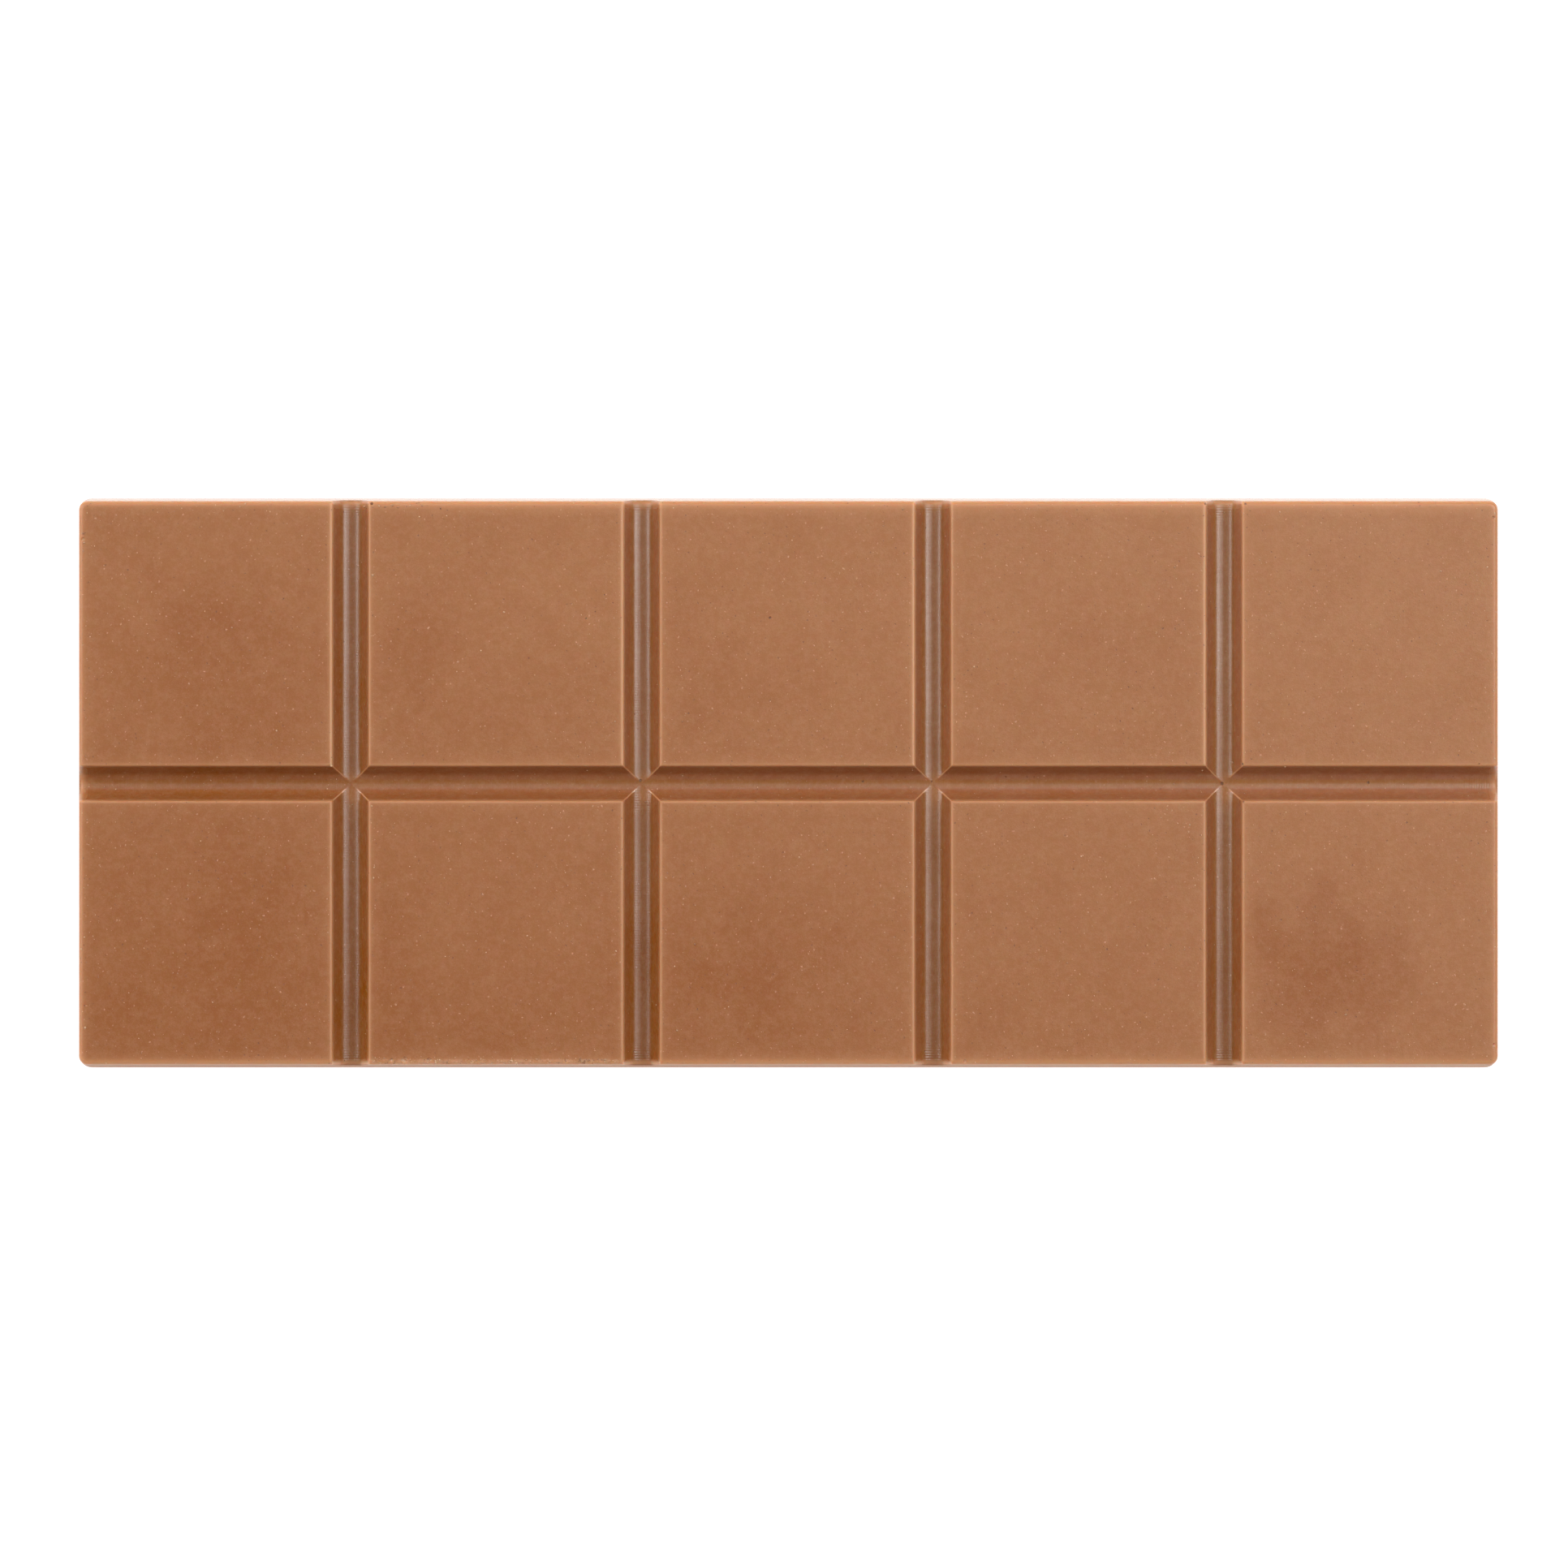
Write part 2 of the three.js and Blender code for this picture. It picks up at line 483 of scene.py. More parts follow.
    def plan(
        self, u: np.ndarray, v: np.ndarray, outset: np.ndarray | float
    ) -> tuple[np.ndarray, np.ndarray]:
        """Bends the grid's square corners round and grows its rim.

        The corner shares p and q become p root(1 - q^2/2) and q root(1 - p^2/2), which turns the
        corner's square into a quarter disc, and then span the corner radius plus the outset.

        Args:
            u: Grid places along the bar.
            v: Grid places across it.
            outset: How far the outline stands outside the top edge's.

        Returns:
            X and Y.
        """
        core_x, core_y = self.half - self.corner_radius
        p, q = self.corner_shares(u, v)
        radius = self.corner_radius + outset
        beyond_x = radius * p * np.sqrt(1 - q * q / 2)
        beyond_y = radius * q * np.sqrt(1 - p * p / 2)
        x = np.where(p > 0, np.sign(u) * (core_x + beyond_x), u)
        y = np.where(q > 0, np.sign(v) * (core_y + beyond_y), v)
        return x, y

    def inset(self, u: np.ndarray, v: np.ndarray) -> np.ndarray:
        """Distance of a place inwards from the top edge's outline, and 0 outside it.

        Near the outline it is the corner radius times 1 - root(p^2 + q^2 - p^2 q^2), with the
        corner shares p and q. Farther in, the rest of the way is added.

        Args:
            u: Grid places along the bar.
            v: Grid places across it.

        Returns:
            Distances in metres.
        """
        p, q = self.corner_shares(u, v)
        core_x, core_y = self.half - self.corner_radius
        near = self.corner_radius * (1 - np.sqrt(p * p + q * q - p * p * q * q))
        rest = np.minimum(core_x - np.abs(u), core_y - np.abs(v))
        return np.maximum(near, 0) + np.maximum(rest, 0)

    def height(self, u: np.ndarray, v: np.ndarray) -> np.ndarray:
        """Height of the moulded face: thickness less groove less edge rounding, plus the swell.

        The rounding is r - root(r^2 - (r - inset)^2) inside the edge radius r, and 0 beyond it.

        Args:
            u: Grid places along the bar.
            v: Grid places across it.

        Returns:
            Heights above the back, in metres.
        """
        flat = np.stack([u, v], -1)
        radius = self.top_edge_radius
        into_edge = radius - np.minimum(self.inset(u, v), radius)
        rounding = radius - np.sqrt(np.maximum(radius**2 - into_edge**2, 0))
        wander_u, wander_v = (swell.at(flat) for swell in self.wander)
        depth = self.groove_depth(u + wander_u, v + wander_v)
        return self.thickness - depth - rounding + (self.face_swell.at(flat) - self.face_sink)

    def face(self, u: np.ndarray, v: np.ndarray) -> np.ndarray:
        """The moulded face. Its rim stands out with the sides' lean where a groove is deep."""
        lean = math.tan(self.side_draft) * self.groove_depth(u, v)
        return np.stack([*self.plan(u, v, lean), self.height(u, v)], -1)

    def skirt(self, u: np.ndarray, v: np.ndarray, top: np.ndarray) -> np.ndarray:
        """Rings from below the face's rim down the leaning sides and round the back edge.

        Args:
            u: The rim's grid places along the bar.
            v: The same across it.
            top: The face's height there.

        Returns:
            One ring of places a row.
        """
        radius = self.back_edge_radius
        rings = []
        for share in np.linspace(0, 1, self.wall_levels + 1)[1:]:
            z = top + (radius - top) * share
            rings.append([*self.plan(u, v, self.outset_at(z)), z])
        for turn in np.linspace(0, np.pi / 2, self.edge_cells + 1)[1:]:
            z = np.full_like(top, radius * (1 - math.sin(turn)))
            outset = self.outset_at(radius) - radius * (1 - math.cos(turn))
            rings.append([*self.plan(u, v, outset), z])
        return np.stack(rings).transpose(0, 2, 1)

    def back(self, u: np.ndarray, v: np.ndarray) -> np.ndarray:
        """The back: level at its rim, and farther in uneven by its relief times exp(a swell).

        Args:
            u: Grid places along the bar.
            v: Grid places across it.

        Returns:
            One place a grid place.
        """
        outset = self.outset_at(self.back_edge_radius) - self.back_edge_radius
        relief = self.back_relief * np.exp(self.back_swell.at(np.stack([u, v], -1)))
        raised = relief * self.back_rise.at(self.inset(u, v))
        return np.stack([*self.plan(u, v, outset), raised], -1)

    def surface(self) -> tuple[np.ndarray, np.ndarray]:
        """The whole closed surface: moulded face, skirt, and a back with the face's grid.

        Returns:
            Vertices in metres and triangles that face outwards.
        """
        u_lines = self.lines(self.half[0], self.groove_places())
        v_lines = self.lines(self.half[1], np.array([self.row_shift]), self.row_width)
        u, v = np.meshgrid(u_lines, v_lines, indexing="ij")
        number = np.arange(u.size).reshape(u.shape)
        rim = np.concatenate(
            [number[:-1, 0], number[-1, :-1], number[:0:-1, -1], number[0, :0:-1]]
        )
        face = self.face(u, v).reshape(-1, 3)
        skirt = self.skirt(u.ravel()[rim], v.ravel()[rim], face[rim, 2])
        back = self.back(u, v).reshape(-1, 3)
        vertices = np.vstack([face, skirt.reshape(-1, 3), back])

        skirt_number = number.size + np.arange(skirt[..., 0].size).reshape(skirt.shape[:2])
        back_number = number.ravel() + number.size + skirt_number.size
        back_number[rim] = skirt_number[-1]
        triangles = np.vstack(
            [
                self.cells(number, u_lines, v_lines),
                self.band_cells(np.vstack([rim[None], skirt_number])),
                self.cells(back_number.reshape(u.shape), u_lines, v_lines)[:, ::-1],
            ]
        )
        used, renumbered = np.unique(triangles, return_inverse=True)
        return vertices[used], renumbered.reshape(-1, 3)

    def cells(self, number: np.ndarray, u_lines: np.ndarray, v_lines: np.ndarray) -> np.ndarray:
        """Two triangles for each grid cell, cut along the mitred edges of the nearest crossing.

        Args:
            number: Vertex numbers on the grid.
            u_lines: Grid lines along the bar.
            v_lines: Grid lines across it.

        Returns:
            Triangles that face up.
        """
        a, b = number[:-1, :-1].ravel(), number[1:, :-1].ravel()
        c, d = number[1:, 1:].ravel(), number[:-1, 1:].ravel()
        middle_u = (u_lines[1:] + u_lines[:-1]) / 2
        middle_v = (v_lines[1:] + v_lines[:-1]) / 2 - self.row_shift
        places = self.groove_places()
        nearest = places[np.abs(middle_u[:, None] - places).argmin(1)]
        rising = (((middle_u - nearest)[:, None] * middle_v[None, :]) > 0).ravel()[:, None]
        first = np.where(rising, np.stack([a, b, c], -1), np.stack([a, b, d], -1))
        second = np.where(rising, np.stack([a, c, d], -1), np.stack([b, c, d], -1))
        return np.vstack([first, second])

    @staticmethod
    def band_cells(bands: np.ndarray) -> np.ndarray:
        """Two triangles for each cell between neighbouring rings, which run anticlockwise.

        Args:
            bands: Vertex numbers, one ring a row, the upper one first.

        Returns:
            Triangles that face outwards.
        """
        a, d = bands[:-1], bands[1:]
        b, c = np.roll(a, -1, axis=1), np.roll(d, -1, axis=1)
        first = np.stack([a, d, c], -1).reshape(-1, 3)
        second = np.stack([a, c, b], -1).reshape(-1, 3)
        return np.vstack([first, second])

    def top_at(self, places: np.ndarray) -> np.ndarray:
        """Height of the moulded face at places on the bar, X and Y first in each row."""
        return self.height(places[:, 0], places[:, 1])

    def build(self) -> bpy.types.Object:
        """Makes the bar's object, without its finish."""
        return mesh_object("moulded_bar", *self.surface())


# Wear


@dataclass(frozen=True)
class Flaw:
    """A small hollow in the moulded face: a burst bubble or a bite out of an edge.

    Attributes:
        x: Its place along the bar, in millimetres.
        y: Its place across the bar, in millimetres.
        radius: Half of its size across, in millimetres.
        depth: How deep it goes for its radius.
    """

    x: float
    y: float
    radius: float
    depth: float = 1.0


@dataclass
class Chips:
    """What is missing from the moulded face: bubbles, and bites along the worn edge.

    A hollow is a lumpy ball, sunk so that it cuts the surface near its own widest ring.

    Attributes:
        bubbles: The hollows that stand out.
        bites: How many slots for a bite the ragged stretch has.
        bite_slot: Shares of its slot between which a bite's middle lies.
        bite_inset: Distances from the outline between which it lies.
        bite_size: Mean half length of a bite.
        bite_range: The smallest and the largest, where the mean is one.
        bite_depth: How deep a bite goes for its radius.
        clearance: Least distance of a bite from a listed hollow.
        turn: Largest turn of a hollow about Z, either way.
        broken_reach: Distance from its middle, in radii, within which the surface is broken.
        broken_depth: Depth below the moulded face over which it begins to look broken.
        hollow_reach: Distance in radii within which the inside of a deep one is painted with shade.
        hollow_depth: Depth over which the painted shade sets in.
        sharp_angle: Angle between two faces above which a broken edge is sharp.
        seed: Seed of the random draws.
        shape: The ball's grid.
    """

    bubbles: tuple[Flaw, ...] = (
        Flaw(-12.53, 0.18, 0.14),
        Flaw(12.12, 0.11, 0.10),
        Flaw(36.72, -0.06, 0.17),
        Flaw(38.36, 1.58, 0.13),
        Flaw(38.44, -1.56, 0.14),
        Flaw(-35.22, 23.62, 0.17),
        Flaw(35.25, 23.60, 0.11),
        Flaw(38.62, 23.58, 0.11),
        Flaw(-29.41, 23.17, 0.08),
        Flaw(58.40, 1.60, 0.08),
        Flaw(-1.55, 13.95, 0.12),
        Flaw(-17.10, 13.90, 0.09),
        Flaw(49.10, 0.02, 0.13),
        Flaw(6.28, 0.11, 0.12),
        Flaw(-48.20, -8.10, 0.08),
        Flaw(20.60, -12.30, 0.08),
        Flaw(-32.45, -23.42, 0.27, 0.6),
        Flaw(-33.60, -23.45, 0.20, 0.6),
        Flaw(-30.40, -23.50, 0.24, 0.6),
        Flaw(-18.80, -23.48, 0.22, 0.6),
        Flaw(14.90, -23.55, 0.20, 0.6),
        Flaw(59.66, 22.40, 0.20, 0.6),
        Flaw(59.70, -22.20, 0.22, 0.6),
        Flaw(-59.62, 20.60, 0.20, 0.6),
    )
    bites: int = 24
    bite_slot: tuple[float, float] = (0.35, 0.65)
    bite_inset: tuple[float, float] = (0.05 * MM, 0.42 * MM)
    bite_size: float = 0.075 * MM
    bite_range: tuple[float, float] = (0.6, 1.4)
    bite_depth: float = 0.8
    clearance: float = 0.6 * MM
    turn: float = 0.4
    broken_reach: float = 1.4
    broken_depth: Fade = Fade(0.005 * MM, 0.03 * MM)
    hollow_reach: float = 1.3
    hollow_depth: Fade = Fade(0.02 * MM, 0.06 * MM)
    sharp_angle: float = math.radians(35)
    seed: int = 41
    shape: Pebbles = Pebbles(rings=5, sectors=9, lumpiness=0.25)

    def hollows(self, tablet: Tablet) -> tuple[np.ndarray, np.ndarray]:
        """Works out the balls to cut.

        The bites are spread evenly along the worn edge with a random shift, so none overlap.

        Args:
            tablet: The bar's sizes.

        Returns:
            Middles and half sizes, one ball a row, in metres.
        """
        rng = np.random.default_rng(self.seed)
        listed = np.array([[f.x, f.y, f.radius, f.depth] for f in self.bubbles]) * [MM, MM, MM, 1]
        start, end = WORN_EDGE
        slot = (end - start) / self.bites
        x = start + slot * (np.arange(self.bites) + rng.uniform(*self.bite_slot, self.bites))
        y = -tablet.half[1] + rng.uniform(*self.bite_inset, self.bites)
        radius = self.bite_size * rng.uniform(*self.bite_range, self.bites)
        bitten = np.stack([x, y, radius, np.full(self.bites, self.bite_depth)], -1)
        clear = np.hypot(*(bitten[:, None, :2] - listed[None, :, :2]).transpose(2, 0, 1)).min(1)
        every = np.vstack([listed, bitten[clear > self.clearance]])
        centres = np.column_stack([every[:, :2], tablet.top_at(every)])
        sizes = every[:, 2:3] * np.column_stack([np.ones((len(every), 2)), every[:, 3]])
        return centres, sizes

    def cut(self, bar: bpy.types.Object, tablet: Tablet) -> None:
        """Takes the hollows out of the bar, marks them and keeps their rims sharp.

        Args:
            bar: The moulded bar.
            tablet: Its sizes.
        """
        rng = np.random.default_rng(self.seed + 1)
        centres, sizes = self.hollows(tablet)
        cutter = mesh_object("hollows", *self.shape.scattered(centres, sizes, rng, self.turn))
        cutting = bar.modifiers.new("chips", "BOOLEAN")
        cutting.operation = "DIFFERENCE"
        cutting.solver = "MANIFOLD"
        cutting.object = cutter
        cut = bpy.data.meshes.new_from_object(
            bar.evaluated_get(bpy.context.evaluated_depsgraph_get())
        )
        cut.materials.clear()
        bar.modifiers.clear()
        bar.data = cut
        bpy.data.objects.remove(cutter)

        places = vertex_places(cut)
        away = np.stack(
            [
                np.linalg.norm((places - centre) / size, axis=1)
                for centre, size in zip(centres, sizes)
            ]
        )
        sunk = tablet.top_at(places) - places[:, 2]
        broken = away.min(0) < self.broken_reach
        deep = sizes[:, 2] >= sizes[:, 0]
        hollow = away[deep].min(0) < self.hollow_reach
        set_mark(cut, Mark.BROKEN, broken * self.broken_depth.at(sunk))
        # The inside of a deep bubble gets painted shade.
        set_mark(cut, Mark.SHADED_HOLLOW, hollow * self.hollow_depth.at(sunk))
        self.sharpen(cut, broken)

    def sharpen(self, mesh: bpy.types.Mesh, broken: np.ndarray) -> None:
        """Makes steep edges sharp, but only where the surface is broken.

        Args:
            mesh: The bar's mesh, after all cutting.
            broken: Which vertices are broken.
        """
        mesh.set_sharp_from_angle(angle=self.sharp_angle)
        count = len(mesh.edges)
        ends = np.empty(count * 2, np.int32)
        mesh.edges.foreach_get("vertices", ends)
        sharp = np.empty(count, bool)
        mesh.attributes["sharp_edge"].data.foreach_get("value", sharp)
        keep = sharp & broken[ends.reshape(-1, 2)].all(1)
        mesh.attributes["sharp_edge"].data.foreach_set("value", keep)


@dataclass
class Crumbs:
    """Loose specks that stick to the bar: scattered on the squares, gathered along the edges.

    Attributes:
        seen: Specks that stand out: place along and across the bar and radius, in millimetres.
        on_squares: How many lie anywhere on the squares.
        margin: How far these stay from the outline.
        gathering: Power by which they lie closer together towards the bar's left end.
        along_edges: How many lie near the outer edge.
        edge_inset: Mean distance of these from the outline, and its spread.
        along_worn_edge: How many lie along the ragged stretch of the front edge.
        worn_inset: Mean distance of these from the outline, and its spread.
        along_lips: How many lie beside the grooves.
        lip_spread: How far these are spread from the lips.
        overhang: How near the outline the middle of any speck may come.
        size: Mean radius.
        worn_size: Mean radius along the ragged stretch.
        size_spread: Spread of the radius's logarithm.
        stretch: Smallest and largest half size of a speck in its radii.
        flatness: Its height, where its width is one.
        seed: Seed of the random draws.
        shape: One speck's grid.
    """

    seen: tuple[tuple[float, float, float], ...] = (
        (-38.61, 2.15, 0.10),
        (-38.64, 1.45, 0.12),
        (-35.87, 23.38, 0.10),
        (-34.60, 23.40, 0.09),
        (-34.10, 23.32, 0.10),
        (-33.50, 23.44, 0.11),
        (-33.00, 23.30, 0.09),
        (-32.00, 23.44, 0.10),
        (-31.00, 23.48, 0.10),
        (-28.90, 22.58, 0.09),
        (-31.20, 22.50, 0.08),
        (35.10, 22.60, 0.08),
        (38.50, 22.80, 0.08),
        (35.02, 1.07, 0.09),
        (33.66, 1.70, 0.09),
        (37.60, 1.74, 0.10),
        (32.64, -0.10, 0.09),
        (-59.60, 21.10, 0.10),
        (-59.55, 20.30, 0.12),
        (-59.60, 19.60, 0.09),
        (59.70, 22.80, 0.10),
        (59.70, 2.05, 0.10),
        (-23.00, -23.72, 0.12),
        (-19.40, -23.64, 0.10),
        (-17.40, -23.66, 0.10),
        (9.65, 23.10, 0.10),
    )
    on_squares: int = 1500
    margin: float = 0.6 * MM
    gathering: float = 1.35
    along_edges: int = 420
    edge_inset: tuple[float, float] = (0.35 * MM, 0.3 * MM)
    along_worn_edge: int = 170
    worn_inset: tuple[float, float] = (0.30 * MM, 0.15 * MM)
    along_lips: int = 260
    lip_spread: float = 0.25 * MM
    overhang: float = 0.15 * MM
    size: float = 0.038 * MM
    worn_size: float = 0.05 * MM
    size_spread: float = 0.35
    stretch: tuple[float, float] = (0.7, 1.2)
    flatness: float = 0.7
    seed: int = 61
    shape: Pebbles = Pebbles()

    def places(self, tablet: Tablet, rng: np.random.Generator) -> np.ndarray:
        """Draws where the random specks lie.

        Args:
            tablet: The bar that they lie on.
            rng: Source of the random draws.

        Returns:
            One X and Y a row, those on the ragged stretch last.
        """
        half = tablet.half
        squares = rng.random((self.on_squares, 2)) ** [self.gathering, 1.0] * 2 - 1
        squares *= half - self.margin

        way = rng.uniform(-1, 1, (self.along_edges, 2)) * half
        inset = half - np.abs(rng.normal(*self.edge_inset, (self.along_edges, 1)))
        long_side = rng.random((self.along_edges, 1)) < half[0] / half.sum()
        side = np.where(rng.random((self.along_edges, 1)) < 0.5, -1, 1)
        edges = np.where(long_side == [[True, False]], way, side * inset)

        worn_x = rng.uniform(*WORN_EDGE, self.along_worn_edge)
        worn_y = -half[1] + np.abs(rng.normal(*self.worn_inset, self.along_worn_edge))
        worn = np.column_stack([worn_x, worn_y])

        groove = rng.choice(tablet.groove_places(), self.along_lips)
        side = rng.choice([-1, 1], self.along_lips)
        beside = tablet.section.reach + np.abs(rng.normal(0, self.lip_spread, self.along_lips))
        across = rng.uniform(-1, 1, self.along_lips) * half[1]
        lips = np.column_stack([groove + side * beside, across])
        return np.vstack([squares, edges, lips, worn])

    def build(self, tablet: Tablet) -> bpy.types.Object:
        """Lays the specks on the bar, each sunk to its middle.

        Args:
            tablet: The bar that they lie on.

        Returns:
            The object that holds them all.
        """
        rng = np.random.default_rng(self.seed)
        drawn = self.places(tablet, rng)
        listed = np.array(self.seen) * MM
        inside = tablet.half - self.overhang
        places = np.clip(np.vstack([drawn, listed[:, :2]]), -inside, inside)
        usual = np.full(len(drawn), self.size)
        usual[-self.along_worn_edge :] = self.worn_size
        drawn_radius = usual * rng.lognormal(0, self.size_spread, len(drawn))
        radius = np.append(drawn_radius, listed[:, 2])[:, None]
        sizes = radius * rng.uniform(*self.stretch, (len(places), 3)) * [1, 1, self.flatness]
        centres = np.column_stack([places, tablet.top_at(places)])
        return mesh_object("crumbs", *self.shape.scattered(centres, sizes, rng))


# Markings


@dataclass(frozen=True)
class Spots:
    """Where a mesh's vertices lie on the bar, as one number a vertex.

    Attributes:
        tablet: The bar's sizes.
        x: Place along the bar.
        y: Place across it.
        z: Height.
        from_groove: Distance right of the nearest groove across the bar.
        from_row: Distance behind the groove along the bar, as if that were as wide as the others.
        inset: Distance inwards from the top edge's outline.
    """

    tablet: Tablet
    x: np.ndarray
    y: np.ndarray
    z: np.ndarray
    from_groove: np.ndarray
    from_row: np.ndarray
    inset: np.ndarray

    @classmethod
    def of(cls, mesh: bpy.types.Mesh, tablet: Tablet) -> "Spots":
        """Works out where a mesh's vertices lie.

        Args:
            mesh: The bar's mesh, after all cutting.
            tablet: The bar's sizes.

        Returns:
            The spots.
        """
        x, y, z = vertex_places(mesh).T
        from_grooves = x[:, None] - tablet.groove_places()
        nearest = np.abs(from_grooves).argmin(1)[:, None]
        from_groove = np.take_along_axis(from_grooves, nearest, axis=1)[:, 0]
        return cls(tablet, x, y, z, from_groove, tablet.from_row(y), tablet.inset(x, y))

    @property
    def flat(self) -> np.ndarray:
        """X and Y, one vertex a row."""
        return np.column_stack([self.x, self.y])

    @property
    def below(self) -> np.ndarray:
        """Depth below the squares' tops."""
        return self.tablet.thickness - self.z

    @property
    def from_front(self) -> np.ndarray:
        """Distance inwards from the front edge's outline, negative outside it."""
        return self.y + self.tablet.half[1]

    @property
    def across(self) -> np.ndarray:
        """Distance from the nearest groove across the bar."""
        return np.abs(self.from_groove)

    @property
    def along(self) -> np.ndarray:
        """Distance from the groove along the bar."""
        return np.abs(self.from_row)

    @property
    def nearest(self) -> np.ndarray:
        """Distance from the nearest groove."""
        return np.minimum(self.across, self.along)


@dataclass(frozen=True)
class Patch:
    """A soft patch on the squares where the bloom is thinner, so that they look browner.

    Attributes:
        x: Middle along the bar, in millimetres.
        y: Middle across the bar, in millimetres.
        reach_x: Half size along the bar, in millimetres.
        reach_y: Half size across it, in millimetres.
        strength: How much of the bloom is gone in its middle; negative where there is more.
    """

    x: float
    y: float
    reach_x: float
    reach_y: float
    strength: float


@dataclass
class Markings:
    """Where the bar's mesh is blooming, glossy, worn, scuffed or rippled, and where light and
    shade are painted.

    Attributes:
        patches: Where the bloom is thin.
        fade: Power of the distance by which a patch fades; a high one gives a firm edge.
        contrast: How much bloom a patch of strength one takes away.
        middle: Bloom at the middle of the bar, from 0 for none to 1.
        rise: How much it grows for each millimetre along and across the bar: painted light, so the
            bar is paler towards the back right.
        bends: How far the patches' outlines are bent, along X and along Y.
        mottles: Further unevenness of the bloom.
        face_depth: How far below the squares' tops the moulded face may lie.
        face_edge: Distance inwards over which the marks of the moulded face begin.
        polish_and_shade: Depth over which the mould's gloss begins, and with it the painted shade.
        back_height: Height over which the dull back fades.
        front_side: Distance from the front outline over which the dull front side begins.
        front_height: Height above the back over which it does.
        ridge_width: Distance from a mitred edge over which its wear and painted glow fade.
        ridge_span: Distances from a crossing's middle between which the edges are worn and glow.
        ridge_wear_and_glow: How worn they are, with the glow and highlight painted on them.
        lip_wear_and_highlight: How worn the lips are, with their painted highlight, most where they
            face
            the brighter lights: left in the back row, left in the front row, right, lower and
                upper.
        lip_rise: Distance from a lip's start over which its wear and painted highlight begin.
        lip_fall: The same for where it ends.
        front_wear_and_highlight: How worn the front edge is, with a highlight painted along it.
        front_band: Distances from the outline over which its wear and painted highlight begin and
            end.
        front_reach: How far from the front the edge counts as the front edge.
        wall_start: Where the walls' painted sheen begins, in half widths of the bottom: in a groove
            across the bar and in the one along it.
        wall_rise: Half widths over which it grows.
        wall_end: Distance from the squares' tops over which it ends.
        rim_reach: Distance inwards at which the rim's painted glow has faded by half.
        rim_power: Power of the distance by which it fades.
        rim_depth: Depth over which it fades.
        rim_ends: Its strength at the bar's two ends, where that along the long sides is one.
        long_side: Distance from a long side over which the rim counts as its own.
        back_rim: Share by which the painted glow is wider along the back side, which faces the
            lights.
        back_rim_start: Where along the bar it gets wider.
        lip_glow: How much of the rim's painted glow the squares have beside the lips.
        lip_glow_rise: Distance from a lip's start over which that begins.
        lip_glow_fall: The same for where it ends.
        end_depth: Depth over which a groove's glowing end begins.
        end_reach: How far the dull ends of the grooves, with their painted glow, reach in: at the
            front side and elsewhere.
        end_front: How far from the front an end counts as one at the front side.
        scuff_inset: Distance from the front outline over which the scuffs fade.
        scuff_overhang: How far they reach beyond the outline.
        scuff_depth: Depth over which they fade.
        scuff_run: How far they run on past the worn edge.
        ripple_width: Distance from a groove's middle over which its ripples fade.
        ripple_mean: Mean strength of the ripples.
        ripple_beat: How it comes and goes.
        ripple_row: Their strength in the groove along the bar, where that in the others is one.
        ripple_ends: Distance from the end over which the ripples grow, in a groove across the bar
            and in the one along it.
        ripple_growth: How much stronger they are at the very end.
        ripple_overlap: How far the grooves across the bar keep their ripples into a crossing.
    """

    patches: tuple[Patch, ...] = (
        Patch(-46.5, 8.0, 9.0, 8.0, 0.45),
        Patch(-47.5, 14.0, 6.5, 4.5, 0.25),
        Patch(-31.5, 9.5, 4.0, 6.0, 0.40),
        Patch(-22.5, 7.0, 3.5, 3.0, 0.15),
        Patch(-18.5, 16.5, 3.8, 4.0, -0.30),
        Patch(-6.0, 8.0, 4.6, 4.4, 0.35),
        Patch(-9.0, 14.5, 1.6, 3.4, 0.30),
        Patch(28.0, 12.5, 7.0, 4.0, 0.22),
        Patch(30.5, 10.0, 4.5, 6.0, 0.15),
        Patch(-45.5, -8.5, 4.5, 7.0, 0.35),
        Patch(-44.5, -17.0, 5.5, 5.0, 0.20),
        Patch(-50.0, -14.0, 11.5, 10.0, 0.22),
        Patch(-50.0, -20.5, 10.0, 4.0, 0.15),
        Patch(-33.5, -12.0, 2.6, 8.5, 0.28),
        Patch(-33.0, -20.0, 3.0, 3.5, 0.15),
        Patch(-26.0, -20.5, 9.5, 3.8, 0.25),
        Patch(-4.0, -16.5, 11.0, 8.5, 0.55),
        Patch(-3.5, -17.0, 3.5, 2.4, 0.20),
        Patch(45.3, -15.3, 6.6, 6.0, 1.00),
    )
    fade: float = 3.0
    contrast: float = 0.53
    middle: float = 0.53
